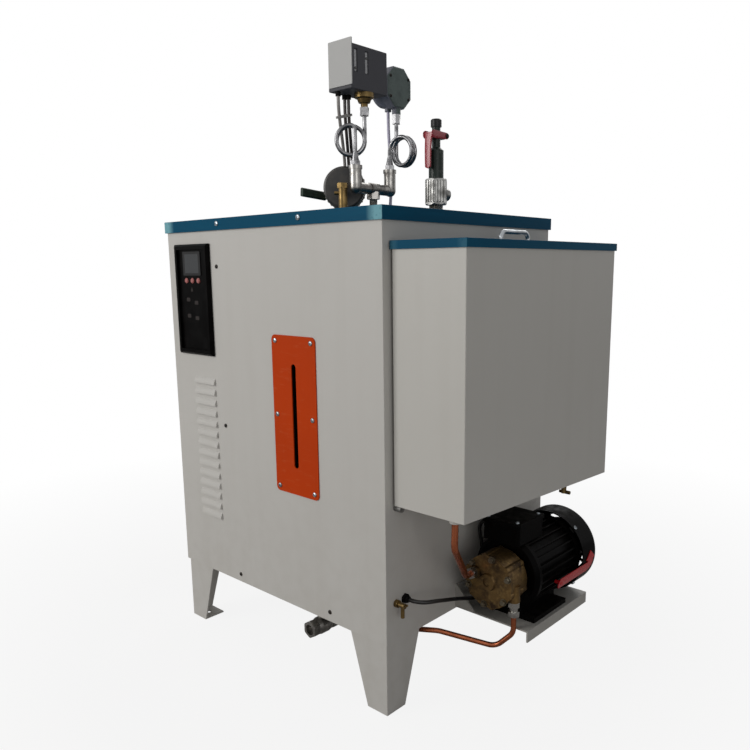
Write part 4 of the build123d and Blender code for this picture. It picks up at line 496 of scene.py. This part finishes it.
dress(moulded("panel_frame_plastic", shade(6, 5, 5), 0.28, 0.00003), "control_panel")
pane = Finish("display_pane_glass")
BORDER_ACROSS, BORDER_UP, BORDER_BLUR = 0.006, 0.004, 0.002
window_low, window_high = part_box("display_window")
lit_up = pane.along("Z").between(window_low.z + BORDER_UP, window_high.z - BORDER_UP, BORDER_BLUR)
lit_across = pane.along("X").between(window_low.x + BORDER_ACROSS, window_high.x - BORDER_ACROSS, BORDER_BLUR)
lit_share = lit_up * lit_across
pane.feed(Base_Color=pane.mix(lit_share, shade(16, 15, 16), shade(58, 60, 62)),
          Roughness=0.1 + 0.1 * pane.clouds(60, 3), Specular_IOR_Level=0.3)
dress(pane, "display_window")
lens = Finish("lamp_lens_plastic")
lens_dome = lens.clouds(300, 2)
lens.feed(Base_Color=lens.mix(lens_dome, shade(196, 120, 116), shade(140, 58, 52)),
          Roughness=0.18 + 0.1 * lens_dome, Coat_Weight=0.6)
dress(lens, "panel_lamps")


def raised_pad(centre, first, second, half_first, half_second, rise, power=5.0, taper=0.0):
    """A low pad: a superellipse outline |u|^p + |v|^p = 1 that steps in at its top edge.
    A taper of 1 draws the outline to a point at the far end of the second direction."""
    angle = np.linspace(0, 2 * pi, 48, endpoint=False)
    over = np.sign(np.cos(angle)) * abs(np.cos(angle)) ** (2 / power)
    up = np.sign(np.sin(angle)) * abs(np.sin(angle)) ** (2 / power)
    over = over * (1 - taper * (up + 1) / 2)
    outward = np.cross(first, second)
    rows = []
    for share, lift in ((1, 0), (1, 0.6), (0.92, 0.92), (0.84, 1), (0.05, 1)):
        rows.append(np.array(centre) + np.outer(over * half_first * share, first)
                    + np.outer(up * half_second * share, second) + outward * rise * lift)
    return np.array(rows)


key_face = moulded("key_membrane", shade(58, 54, 53), 0.42, 0.00002)
PANEL_Y = -0.2615
KEY_HALF_WIDTH, KEY_HALF_HEIGHT, KEY_RISE = 0.0065, 0.004, 0.0006
UP_KEY_HALF, UP_KEY_RISE = 0.005, 0.0007
east, upwards = np.array((1.0, 0, 0)), np.array((0, 0, 1.0))
up_key = raised_pad((-0.227, PANEL_Y, 0.76), east, upwards, UP_KEY_HALF, UP_KEY_HALF, UP_KEY_RISE, 4, 1)
flat_keys = [raised_pad((x, PANEL_Y, z), east, upwards, KEY_HALF_WIDTH, KEY_HALF_HEIGHT, KEY_RISE)
             for x, z in ((-0.242, 0.738), (-0.213, 0.732), (-0.242, 0.704), (-0.213, 0.7))]
skin("panel_keys", [up_key, *flat_keys], key_face)

# The level gauge shows through a slot in an orange plate, which six screws
# hold to the front; the glass stands in a steel channel behind it.
orange = Finish("orange_enamel")
scuff = orange.clouds(210, 4, (0.2, 1, 1)).above(0.58, 0.74)
fade = orange.clouds(9, 4).above(0.35, 0.7)
RUBBED_EDGE = 0.0022
plate_low, plate_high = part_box("sight_plate")
paler_by = 1 - orange.along("X").above(plate_low.x, plate_low.x + RUBBED_EDGE)
paler_by = paler_by * orange.clouds(90, 2).above(0.4, 0.6)
tone = orange.mix(0.5 * fade, shade(190, 62, 12), shade(178, 57, 12))
orange.feed(Base_Color=orange.mix(0.12 * scuff + 0.3 * paler_by, tone, shade(206, 128, 92)),
            Roughness=0.42 + 0.2 * scuff, Specular_IOR_Level=0.06,
            Normal=orange.relief(orange.clouds(900, 1), 0.00004))
dress(orange, "sight_plate")
# The steel channel is coloured near black: painted shade for the dark slot.
dress(plated("channel_painted_shade", shade(52, 52, 50), 0.5, shade(24, 22, 20), 0.7), "level_channel")
glass = Finish("level_glass_clear")
glass.feed(Base_Color=shade(226, 236, 232), Transmission_Weight=1.0, IOR=1.47,
           Roughness=0.03 + 0.12 * glass.clouds(90, 4).above(0.5, 0.8))
dress(glass, "level_glass")
PLATE_INSET = 0.011
PLATE_SCREW_RADIUS, PLATE_SCREW_HEIGHT = 0.0046, 0.0028
screw_columns = plate_low.x + PLATE_INSET, plate_high.x - PLATE_INSET
screw_rows = plate_low.z + PLATE_INSET, (plate_low.z + plate_high.z) / 2, plate_high.z - PLATE_INSET
skin("sight_plate_screws",
     [pan_head((x, plate_low.y, z), (0, -1, 0), PLATE_SCREW_RADIUS, PLATE_SCREW_HEIGHT, 30 * z)
      for x in screw_columns for z in screw_rows], screw_zinc)

# The feed-water tank is a welded sheet box hooked on the right wall, with a
# blue lift-off lid and a bent-wire handle.
dress(powder_coat("tank_coat", shade(196, 194, 188), shade(148, 140, 126)), "water_tank")
dress(lid_enamel("tank_lid_enamel", 0.12, 0.02, *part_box("tank_lid")), "tank_lid")
handle_metal = plated("handle_metal", shade(186, 190, 194), 0.22, shade(110, 112, 112))
dress(handle_metal, "tank_handle")
dress(plated("hanger_steel", shade(150, 150, 148), 0.42, shade(90, 88, 84)), "tank_hangers")
brass = plated("turned_brass", shade(132, 110, 70), 0.3, shade(66, 56, 40))
dress(brass, "tank_drain_cock", "wall_tap", "gauge_elbow", "box_bellows")

# The pump stands on a folded shelf, driven by a finned motor in black enamel
# with a pressed cowl over its fan and a terminal box on top.
dress(powder_coat("shelf_coat", shade(168, 166, 160), shade(104, 96, 84)), "pump_shelf")


def black_enamel(name, colour, dust_colour):
    """Thick black paint on castings: runs and pits, and brown dust on what faces up."""
    finish = Finish(name)
    dust = finish.facing("Z").above(0.25, 0.95) * finish.clouds(70, 4).above(0.3, 0.7)
    finish.feed(Base_Color=finish.mix(0.05 * dust, colour, dust_colour), Roughness=0.3 + 0.35 * dust,
                Specular_IOR_Level=0.04, Normal=finish.relief(finish.clouds(260, 3), 0.00025))
    return finish


motor_enamel = black_enamel("motor_enamel", shade(4, 3, 3), shade(84, 76, 66))
dress(motor_enamel, "motor_body", "terminal_box")
dress(black_enamel("cowl_enamel", shade(5, 5, 5), shade(92, 88, 82)), "motor_cowl")
dress(moulded("fan_plastic_black", shade(30, 30, 30), 0.5, 0.00008), "motor_fan")
box_low, box_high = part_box("terminal_box")
BOX_SCREW_INSET = 0.01
BOX_SCREW_RADIUS, BOX_SCREW_HEIGHT = 0.0036, 0.0024
skin("terminal_box_screws",
     [pan_head((x, y, box_high.z), (0, 0, 1), BOX_SCREW_RADIUS, BOX_SCREW_HEIGHT, 20 * x)
      for x in (box_low.x + BOX_SCREW_INSET, box_high.x - BOX_SCREW_INSET)
      for y in (box_low.y + BOX_SCREW_INSET, box_high.y - BOX_SCREW_INSET)], screw_zinc)
SHAFT_X, SHAFT_Z = 0.411, 0.232
cowl_low, cowl_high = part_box("motor_cowl")
COWL_RADIUS = (cowl_high.x - cowl_low.x) / 2
COWL_SCREW_Y = cowl_low.y + 0.007
cowl_turns = [radians(45 + 90 * step) for step in range(4)]
skin("cowl_screws",
     [pan_head((SHAFT_X + COWL_RADIUS * cos(turn), COWL_SCREW_Y, SHAFT_Z + COWL_RADIUS * sin(turn)),
               (cos(turn), 0, sin(turn)), FACE_SCREW_RADIUS, FACE_SCREW_HEIGHT)
      for turn in cowl_turns], screw_zinc)

# The vortex pump has a cast bronze case and a cover bolted on by its lugs,
# both browned by oil, with plated unions screwed in.
cast = Finish("cast_bronze")
pits = cast.clouds(420, 3)
oil = cast.clouds(34, 5).above(0.38, 0.66)
raised = cast.clouds(160, 3).above(0.5, 0.75)
browned = cast.mix(oil, shade(124, 98, 60), shade(58, 44, 30))
cast.feed(Base_Color=cast.mix(0.45 * raised, browned, shade(166, 138, 88)), Metallic=0.85,
          Roughness=0.34 + 0.2 * oil, Normal=cast.relief(pits, 0.0004))
dress(cast, "pump_case", "pump_cover")


def hex_head(place, outward, flats, height, washer, spin=0.0):
    """A bolt on its washer: the hexagon's radius is flats/2 over the cosine of the angle
    from the nearest flat, and its top edge is cut to nearly a circle. Each row has a
    radius, the most that the hexagon may multiply it by, and its height."""
    washer_sheet, cut = 0.0012, 0.0008
    angle = np.linspace(0, 2 * pi, 36, endpoint=False)
    hexagon = 1 / np.cos((angle + spin) % (pi / 3) - pi / 6)
    profile = ((washer, 1, 0), (washer, 1, washer_sheet), (flats / 2, 2, washer_sheet),
               (flats / 2, 2, height - cut), (flats / 2, 1.02, height), (flats / 9, 1, height))
    first, second = square_to(outward)
    rows = []
    for radius, limit, lift in profile:
        reach = radius * np.minimum(hexagon, limit)
        rows.append(np.array(place) + np.outer(reach * np.cos(angle), first)
                    + np.outer(reach * np.sin(angle), second) + np.array(outward, float) * lift)
    return np.array(rows)


bolt_steel = plated("bolt_steel", shade(124, 116, 100), 0.3, shade(60, 50, 38))
LUG_CIRCLE = 0.0455
LUG_THICKNESS = 0.009
BOLT_FLATS, BOLT_HEIGHT, WASHER_RADIUS = 0.009, 0.0062, 0.0066
LUG_FACE_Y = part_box("pump_case")[0].y - LUG_THICKNESS
lug_turns = [radians(60 * step - 20) for step in range(6)]
skin("pump_cover_bolts",
     [hex_head((SHAFT_X + LUG_CIRCLE * cos(turn), LUG_FACE_Y, SHAFT_Z - LUG_CIRCLE * sin(turn)),
               (0, -1, 0), BOLT_FLATS, BOLT_HEIGHT, WASHER_RADIUS, turn)
      for turn in lug_turns], bolt_steel)

# Copper pipes carry water from the tank to the pump and on to the boiler. They
# are bent by hand, stained dark in patches and touched with verdigris.
copper = Finish("drawn_copper")
stain = copper.clouds(60, 5).above(0.4, 0.7)
verdigris = copper.clouds(110, 3).above(0.66, 0.8)
tube_tone = copper.mix(0.75 * stain, shade(188, 108, 74), shade(104, 56, 38))
copper.feed(Base_Color=copper.mix(0.3 * verdigris, tube_tone, shade(112, 138, 116)), Metallic=0.95,
            Roughness=0.24 + 0.24 * stain, Normal=copper.relief(copper.clouds(300, 2), 0.0001))
dress(copper, "suction_pipe", "discharge_pipe")


# A crimson arrow of thin sheet is bent round the motor and fixed to its fins,
# to show which way the shaft turns.
def gloss_paint(name, colour, worn_colour):
    """Brushed-on gloss paint over steel, thin and paler where it is knocked."""
    finish = Finish(name)
    knock = finish.clouds(140, 4).above(0.6, 0.72)
    finish.feed(Base_Color=finish.mix(0.5 * knock, colour, worn_colour), Roughness=0.26 + 0.2 * knock,
                Coat_Weight=0.35, Normal=finish.relief(finish.clouds(350, 2), 0.00012))
    return finish


dress(gloss_paint("arrow_crimson", shade(196, 22, 32), shade(140, 40, 40)), "rotation_arrow")

# The drain valve under the front and the fittings on the lid are plated brass,
# cast bodies with turned ends that are screwed together; the siphons are steel.
plating = plated("nickel_plate", shade(172, 170, 166), 0.2, shade(70, 66, 62))
dress(plating, "drain_valve", "drain_elbow", "drain_lever", "steam_lever", "manifold", "pump_unions")
tube_steel = plated("siphon_steel", shade(158, 158, 160), 0.16, shade(58, 58, 60))
dress(tube_steel, "siphon_right", "siphon_left")
threaded = Finish("threaded_nipple")
THREAD_RADIANS_PER_METRE = 4200
thread_wave = (threaded.along("Z") * THREAD_RADIANS_PER_METRE).wave()
stained = threaded.clouds(80, 4).above(0.4, 0.7)
threaded.feed(Base_Color=threaded.mix(stained, shade(168, 166, 160), shade(98, 88, 70)), Metallic=0.95,
              Roughness=0.3 + 0.2 * stained, Normal=threaded.relief(thread_wave, 0.0006))
dress(threaded, "lid_nipples")
dress(plated("steam_valve_plate", shade(166, 160, 148), 0.24, shade(78, 66, 48)), "steam_valve")

# The steam valve's lever is a bent steel strip. Its far end was dipped in soft
# dark green plastic, which ran and set in drips.
sleeve = Finish("dipped_sleeve")
drip = sleeve.clouds(120, 3)
sleeve.feed(Base_Color=sleeve.mix(drip.above(0.45, 0.75), shade(17, 38, 24), shade(34, 62, 44)),
            Roughness=0.32 + 0.2 * drip, Specular_IOR_Level=0.3, Normal=sleeve.relief(drip, 0.0004))
dress(sleeve, "steam_grip")

# The safety valve has a fluted plated body, a green-black bonnet with a black
# cap, and a crimson lever of two cheeks and a strap, pinned behind its neck.
fluted = Finish("fluted_body")
SAFETY_X, SAFETY_Y = 0.164, 0.0675
FLUTES = 22
FLUTED_FROM, FLUTED_TO, FLUTE_FADE = 0.93, 0.974, 0.002
bearing = fluted.along("Y") - SAFETY_Y
bearing = bearing.math("ARCTAN2", bearing, fluted.along("X") - SAFETY_X)
flutes = (bearing * FLUTES).wave() * fluted.along("Z").between(FLUTED_FROM, FLUTED_TO, FLUTE_FADE)
body_stain = fluted.clouds(70, 4).above(0.4, 0.7)
# Real stains, and painted shade that darkens the grooves of the flutes.
stain_and_flute_shade = 0.7 * body_stain + 0.25 * flutes
fluted.feed(Base_Color=fluted.mix(stain_and_flute_shade, shade(158, 158, 156), shade(70, 68, 64)),
            Metallic=0.9, Roughness=0.26 + 0.2 * body_stain, Normal=fluted.relief(flutes, 0.0005))
dress(fluted, "safety_body")
bonnet = Finish("bonnet_paint")
CAP_FROM, CAP_FULL = 1.074, 1.078
cap_share = bonnet.along("Z").above(CAP_FROM, CAP_FULL)
chips = bonnet.clouds(150, 3).above(0.6, 0.68)
bonnet_tone = bonnet.mix(cap_share, shade(30, 42, 36), shade(16, 16, 17))
bonnet.feed(Base_Color=bonnet.mix(0.6 * chips, bonnet_tone, shade(96, 100, 96)),
            Roughness=0.34 + 0.2 * chips, Specular_IOR_Level=0.3,
            Normal=bonnet.relief(bonnet.clouds(300, 3), 0.0002))
dress(bonnet, "safety_bonnet")
lever_paint = gloss_paint("lever_crimson", shade(158, 16, 40), shade(178, 96, 104))
PIN_Y, PIN_Z = 0.0875, 1.061
CHEEK_OUT, CHEEK_SHEET = 0.0097, 0.0024
CHEEK_END_Y, CHEEK_END_Z = 0.0475, 1.061
HUB_RADIUS, CHEEK_END_RADIUS = 0.0062, 0.0078
HANDLE_TOP_Y, HANDLE_TOP_Z = CHEEK_END_Y - 0.0028, CHEEK_END_Z + CHEEK_END_RADIUS / 2
HANDLE_TIP_Y, HANDLE_TIP_Z = 0.0418, 0.9955
HANDLE_BOW = 0.0014
HANDLE_HALF, HANDLE_TIP_HALF = 0.0086, 0.0072
HANDLE_SHEET, HANDLE_TIP_SHEET = 0.0026, 0.0018


def cheek(inner_x, sheet):
    """A plate whose outline is the hull of two circles: each direction's furthest point
    on the hub's circle or on the end's circle, whichever reaches further."""
    angle = np.linspace(0, 2 * pi, 64, endpoint=False)
    way = np.stack((np.cos(angle), np.sin(angle)), axis=1)
    hub, end = np.array((PIN_Y, PIN_Z)), np.array((CHEEK_END_Y, CHEEK_END_Z))
    at_hub = (way @ hub + HUB_RADIUS) > (way @ end + CHEEK_END_RADIUS)
    middle = np.where(at_hub[:, None], hub, end)
    reach = way * np.where(at_hub[:, None], HUB_RADIUS, CHEEK_END_RADIUS)
    return np.array([np.column_stack((np.full(64, inner_x + sheet * lift), middle + reach * share))
                     for share, lift in ((0.9, 0), (1, 0.2), (1, 0.8), (0.9, 1), (0.1, 1))])


def handle_strap(rows=26):
    """The lever's strap: a rounded section that narrows from the cheeks' width to the
    handle's by the easing curve 3s squared - 2s cubed, ends in an ellipse, and follows
    a line that bows away from the bonnet by a sine."""
    narrow_by, round_from, least = 0.22, 0.94, 0.04
    share = np.linspace(0, 1, rows)[:, None]
    angle = np.linspace(0, 2 * pi, 32, endpoint=False)[None, :]
    narrowing = np.minimum(share / narrow_by, 1)
    narrowing = narrowing * narrowing * (3 - 2 * narrowing)
    handle_half = HANDLE_HALF + (HANDLE_TIP_HALF - HANDLE_HALF) * share
    half_width = (CHEEK_OUT + CHEEK_SHEET) * (1 - narrowing) + handle_half * narrowing
    past = np.maximum(share - round_from, 0) / (1 - round_from)
    half_width = half_width * np.sqrt(np.maximum(1 - past ** 2, least))
    thick = HANDLE_SHEET + (HANDLE_TIP_SHEET - HANDLE_SHEET) * share
    line_z = HANDLE_TOP_Z + (HANDLE_TIP_Z - HANDLE_TOP_Z) * share
    line_y = HANDLE_TOP_Y + (HANDLE_TIP_Y - HANDLE_TOP_Y) * share - HANDLE_BOW * np.sin(pi * share)
    over = np.sign(np.cos(angle)) * abs(np.cos(angle)) ** 0.5
    deep = np.sign(np.sin(angle)) * abs(np.sin(angle)) ** 0.5
    return np.stack((SAFETY_X + over * half_width, line_y - deep * thick, line_z + 0 * over), axis=-1)


PIN_REACH = CHEEK_OUT + CHEEK_SHEET
PIN_HEAD_RADIUS, PIN_HEAD_HEIGHT = 0.0048, 0.003
right_cheek = cheek(SAFETY_X + CHEEK_OUT, CHEEK_SHEET)
left_cheek = cheek(SAFETY_X - PIN_REACH, CHEEK_SHEET)
lever = skin("safety_lever_forged", [right_cheek, left_cheek, handle_strap()], lever_paint,
             "safety_lever")
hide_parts("safety_lever")
skin("safety_pin_heads",
     [pan_head((SAFETY_X + side * PIN_REACH, PIN_Y, PIN_Z), (side, 0, 0), PIN_HEAD_RADIUS, PIN_HEAD_HEIGHT)
      for side in (1, -1)], blackened, "safety_lever")

# The box controller is a dark case behind a pale pressed plate, with two
# scale windows in its side; the octagonal one has an enamelled cast cover.
dress(powder_coat("plate_grey", shade(180, 180, 178), shade(120, 116, 108)), "box_side_plate")
dress(moulded("controller_case", shade(92, 92, 96), 0.36, 0.00006), "box_controller")
hammered = Finish("hammered_enamel")
dimples = hammered.clouds(330, 2)
weathered = hammered.clouds(40, 4).above(0.4, 0.7)
cover_tone = hammered.mix(weathered, shade(88, 102, 98), shade(74, 86, 84))
# The sides get a paler grey than the cover: painted light that brightens their shade.
cover_not_side_light = hammered.facing("X").above(0.5, 0.8)
hammered.feed(Base_Color=hammered.mix(cover_not_side_light, shade(134, 136, 148), cover_tone),
              Roughness=0.36 + 0.15 * weathered, Specular_IOR_Level=0.35,
              Normal=hammered.relief(dimples, 0.0005))
dress(hammered, "octagon_controller")
scale = Finish("scale_strip")
TICK_RADIANS_PER_METRE = 2600
ticks_up = (scale.along("Z") * TICK_RADIANS_PER_METRE).wave().above(0.775, 0.9)
scale.feed(Base_Color=scale.mix(ticks_up * 0.75, shade(196, 196, 198), shade(40, 40, 42)),
           Roughness=0.35 + 0.2 * scale.clouds(90, 3))
WINDOW_DEPTH = 0.002
SCALE_HALF_WIDTH, SCALE_HALF_HEIGHT, SCALE_SHEET = 0.003, 0.019, 0.0006
POINTER_HALF_WIDTH, POINTER_HALF_HEIGHT, POINTER_SHEET = 0.0038, 0.0024, 0.0009
WINDOW_MIDDLE_Z = 1.188
window_floor_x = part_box("box_controller")[1].x - WINDOW_DEPTH
north = np.array((0, 1.0, 0))
window_ys = (-0.082, -0.052)
pointer_zs = (1.174, 1.196)
skin("window_scales",
     [raised_pad((window_floor_x, y, WINDOW_MIDDLE_Z), north, upwards, SCALE_HALF_WIDTH, SCALE_HALF_HEIGHT,
                 SCALE_SHEET, 9) for y in window_ys], scale)
pointer_paint = gloss_paint("pointer_paint", shade(28, 26, 28), shade(70, 66, 66))
skin("window_pointers",
     [raised_pad((window_floor_x + SCALE_SHEET, y, z), north, upwards, POINTER_HALF_WIDTH,
                 POINTER_HALF_HEIGHT, POINTER_SHEET, 2) for y, z in zip(window_ys, pointer_zs)],
     pointer_paint)
COVER_Y, COVER_Z = 0.053, 1.162
COVER_SCREW_ACROSS, COVER_SCREW_UP = 0.027, 0.0195
COVER_SCREW_RADIUS, COVER_SCREW_HEIGHT = 0.0032, 0.002
cover_face_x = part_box("octagon_controller")[1].x
skin("octagon_cover_screws",
     [pan_head((cover_face_x, COVER_Y + side * COVER_SCREW_ACROSS, COVER_Z + lift * COVER_SCREW_UP),
               (1, 0, 0), COVER_SCREW_RADIUS, COVER_SCREW_HEIGHT, lift)
      for side in (-1, 1) for lift in (-1, 1)], blackened)

# The gauge has a grey case with a toothed bezel, a white dial with a fine
# scale, a pointer on its spindle and a flat glass pressed in front of them.
GAUGE_ACROSS, GAUGE_Z, GAUGE_AWAY = -0.085, 0.962, 0.031
dial_middle = np.array(on_diagonal(GAUGE_ACROSS, GAUGE_AWAY, GAUGE_Z))


def from_gauge_middle(finish):
    """How far a point lies across and up from the gauge's middle, and its distance,
    which is the root of the sum of their squares."""
    offset = finish.node("ShaderNodeVectorMath", {"operation": "SUBTRACT"},
                         {0: finish.place(), 1: tuple(dial_middle)})
    across = finish.node("ShaderNodeVectorMath", {"operation": "DOT_PRODUCT"},
                         {0: offset, 1: tuple(across_way)}, "Value")
    up = finish.along("Z") - GAUGE_Z
    return across, up, (across * across + up * up) ** 0.5


BEZEL_FROM, BEZEL_FULL = 0.0423, 0.0432
gauge_paint = Finish("gauge_enamel")
bright_rim = from_gauge_middle(gauge_paint)[2].above(BEZEL_FROM, BEZEL_FULL)
gauge_dust = gauge_paint.clouds(70, 4).above(0.4, 0.7)
gauge_tone = gauge_paint.mix(0.5 * gauge_dust, shade(58, 57, 56), shade(92, 88, 82))
gauge_paint.feed(Base_Color=gauge_paint.mix(bright_rim, gauge_tone, shade(150, 146, 138)),
                 Metallic=0.8 * bright_rim, Roughness=0.34 + 0.2 * gauge_dust,
                 Normal=gauge_paint.relief(gauge_paint.clouds(500, 2), 0.0001))
dress(gauge_paint, "gauge_case")
FINE_MARKS, BOLD_MARKS = 40, 8
FINE_MARK_IN, BOLD_MARK_IN, MARK_OUT, MARK_BLUR = 0.0308, 0.0275, 0.034, 0.0002
BAND_IN, BAND_OUT, BAND_BLUR = 0.0338, 0.0355, 0.0003
SCALE_END, BAND_START, TURN_BLUR = 2.36, 1.55, 0.02
enamel = Finish("dial_enamel")
dial_across, dial_up, dial_reach = from_gauge_middle(enamel)
dial_turn = dial_up.math("ARCTAN2", dial_across, dial_up)
swept = 1 - abs(dial_turn).above(SCALE_END, SCALE_END + TURN_BLUR)


def marks_round(count, low, high):
    """1 on marks round the dial: where the cosine of the bearing times their count is high."""
    bearing_waves = dial_turn * count
    return bearing_waves.math("COSINE", bearing_waves, 0).above(low, high)


fine_marks = marks_round(FINE_MARKS, 0.86, 0.95) * dial_reach.between(FINE_MARK_IN, MARK_OUT, MARK_BLUR)
bold_marks = marks_round(BOLD_MARKS, 0.985, 0.992) * dial_reach.between(BOLD_MARK_IN, MARK_OUT, MARK_BLUR)
marks = fine_marks + bold_marks
marks = marks.math("MINIMUM", marks, 1) * swept
limit_band = dial_reach.between(BAND_IN, BAND_OUT, BAND_BLUR)
limit_band = limit_band * dial_turn.above(BAND_START, BAND_START + TURN_BLUR) * swept
dial_white = enamel.mix(limit_band, shade(226, 225, 218), shade(176, 30, 30))
enamel.feed(Base_Color=enamel.mix(marks, dial_white, shade(22, 22, 24)),
            Roughness=0.4 + 0.1 * enamel.clouds(60, 3))


def disc(middle, outward, radius, thickness):
    """A thin round plate with a rounded edge: circles of radius times a share, each at
    its share of the thickness."""
    angle = np.linspace(0, 2 * pi, 64, endpoint=False)
    first, second = square_to(outward)
    rows = [np.array(middle) + np.outer(np.cos(angle) * radius * share, first)
            + np.outer(np.sin(angle) * radius * share, second) + np.array(outward) * thickness * lift
            for share, lift in ((1, 0), (1, 0.7), (0.985, 1), (0.6, 1), (0.03, 1))]
    return np.array(rows)


DIAL_RADIUS, DIAL_SHEET = 0.0372, 0.0005
GLASS_RADIUS, GLASS_SHEET, GLASS_LIFT = 0.0384, 0.0007, 0.0031
BLADE_TURN, BLADE_LIFT, BLADE_SHEET = -2.3, 0.0012, 0.0006
BLADE_HALF_WIDTH, BLADE_HALF_LENGTH, BLADE_MIDDLE = 0.0014, 0.018, 0.012
HUB_DISC_RADIUS, HUB_DISC_LIFT, HUB_DISC_SHEET = 0.0036, 0.0005, 0.0018
skin("gauge_dial", [disc(dial_middle, away_way, DIAL_RADIUS, DIAL_SHEET)], enamel)
blade_way = across_way * sin(BLADE_TURN) + upwards * cos(BLADE_TURN)
blade_side = np.cross(blade_way, away_way)
blade_place = dial_middle + away_way * BLADE_LIFT + blade_way * BLADE_MIDDLE
blade = raised_pad(blade_place, blade_side, blade_way, BLADE_HALF_WIDTH, BLADE_HALF_LENGTH, BLADE_SHEET,
                   5, 0.8)
hub_disc = disc(dial_middle + away_way * HUB_DISC_LIFT, away_way, HUB_DISC_RADIUS, HUB_DISC_SHEET)
skin("gauge_pointer", [blade, hub_disc], pointer_paint)
skin("gauge_window", [disc(dial_middle + away_way * GLASS_LIFT, away_way, GLASS_RADIUS, GLASS_SHEET)],
     glass)

# Nylon ties draw the three cables of the box controller together below its
# grommets and again above the lid; the grommets and glands are soft rubber.
rubber = moulded("grommet_rubber", shade(22, 21, 21), 0.5, 0.00006)
dress(rubber, "cable_grommets", "cable_glands")
nylon = moulded("tie_nylon", shade(176, 174, 170), 0.32, 0.00002)


def spline_line(points):
    """The line that a cable's route takes, as points read from its NURBS spline."""
    curve = route_curve("route_line", points)
    curve.splines[0].resolution_u = 24
    route = bpy.data.objects.new("route_line", curve)
    mesh = bpy.data.meshes.new_from_object(route)
    line = np.zeros(len(mesh.vertices) * 3)
    mesh.vertices.foreach_get("co", line)
    bpy.data.objects.remove(route)
    return line.reshape(-1, 3)


def at_height(line, height):
    """The line's point at a height, and its direction there."""
    nearest = int(np.argmin(abs(line[:, 2] - height)))
    ahead_of = line[min(nearest + 2, len(line) - 1)] - line[max(nearest - 2, 0)]
    return line[nearest], ahead_of / np.linalg.norm(ahead_of)


def tie_band(middle, along, half_long, half_short, long_way):
    """A strap round a bundle: a flat profile with rounded edges, carried round the oblong
    whose points are the cosine and the sine, each to the power 0.75, times its halves."""
    long_way = long_way - along * np.dot(long_way, along)
    long_way /= np.linalg.norm(long_way)
    short_way = np.cross(along, long_way)
    angle = np.linspace(0, 2 * pi, 48, endpoint=False)
    over = np.sign(np.cos(angle)) * abs(np.cos(angle)) ** 0.75 * half_long
    up = np.sign(np.sin(angle)) * abs(np.sin(angle)) ** 0.75 * half_short
    swell = 1 + TIE_SHEET / half_short
    ring = np.outer(over, long_way) + np.outer(up, short_way)
    return np.array([middle + ring * reach + along * TIE_WIDTH * lift
                     for reach, lift in ((0.98, -0.5), (swell, -0.42), (swell, 0.42), (0.98, 0.5))])


TIE_WIDTH, TIE_SHEET = 0.0044, 0.001
ROOM_AT_ENDS, ROOM_AT_SIDES = 0.0004, 0.0006
dark_line, beside_line, light_line = map(spline_line, (dark_points, beside_points, light_points))
ties = []
for height in (1.096, 1.004):
    dark_way = at_height(dark_line, height)[1]
    beside_place = at_height(beside_line, height)[0]
    light_place = at_height(light_line, height)[0]
    spread = beside_place - light_place
    half_long = np.linalg.norm(spread) / 2 + CABLE_RADIUS + ROOM_AT_ENDS
    ties.append(tie_band((beside_place + light_place) / 2, dark_way, half_long, CABLE_RADIUS + ROOM_AT_SIDES,
                         spread))
skin("cable_ties", ties, nylon)
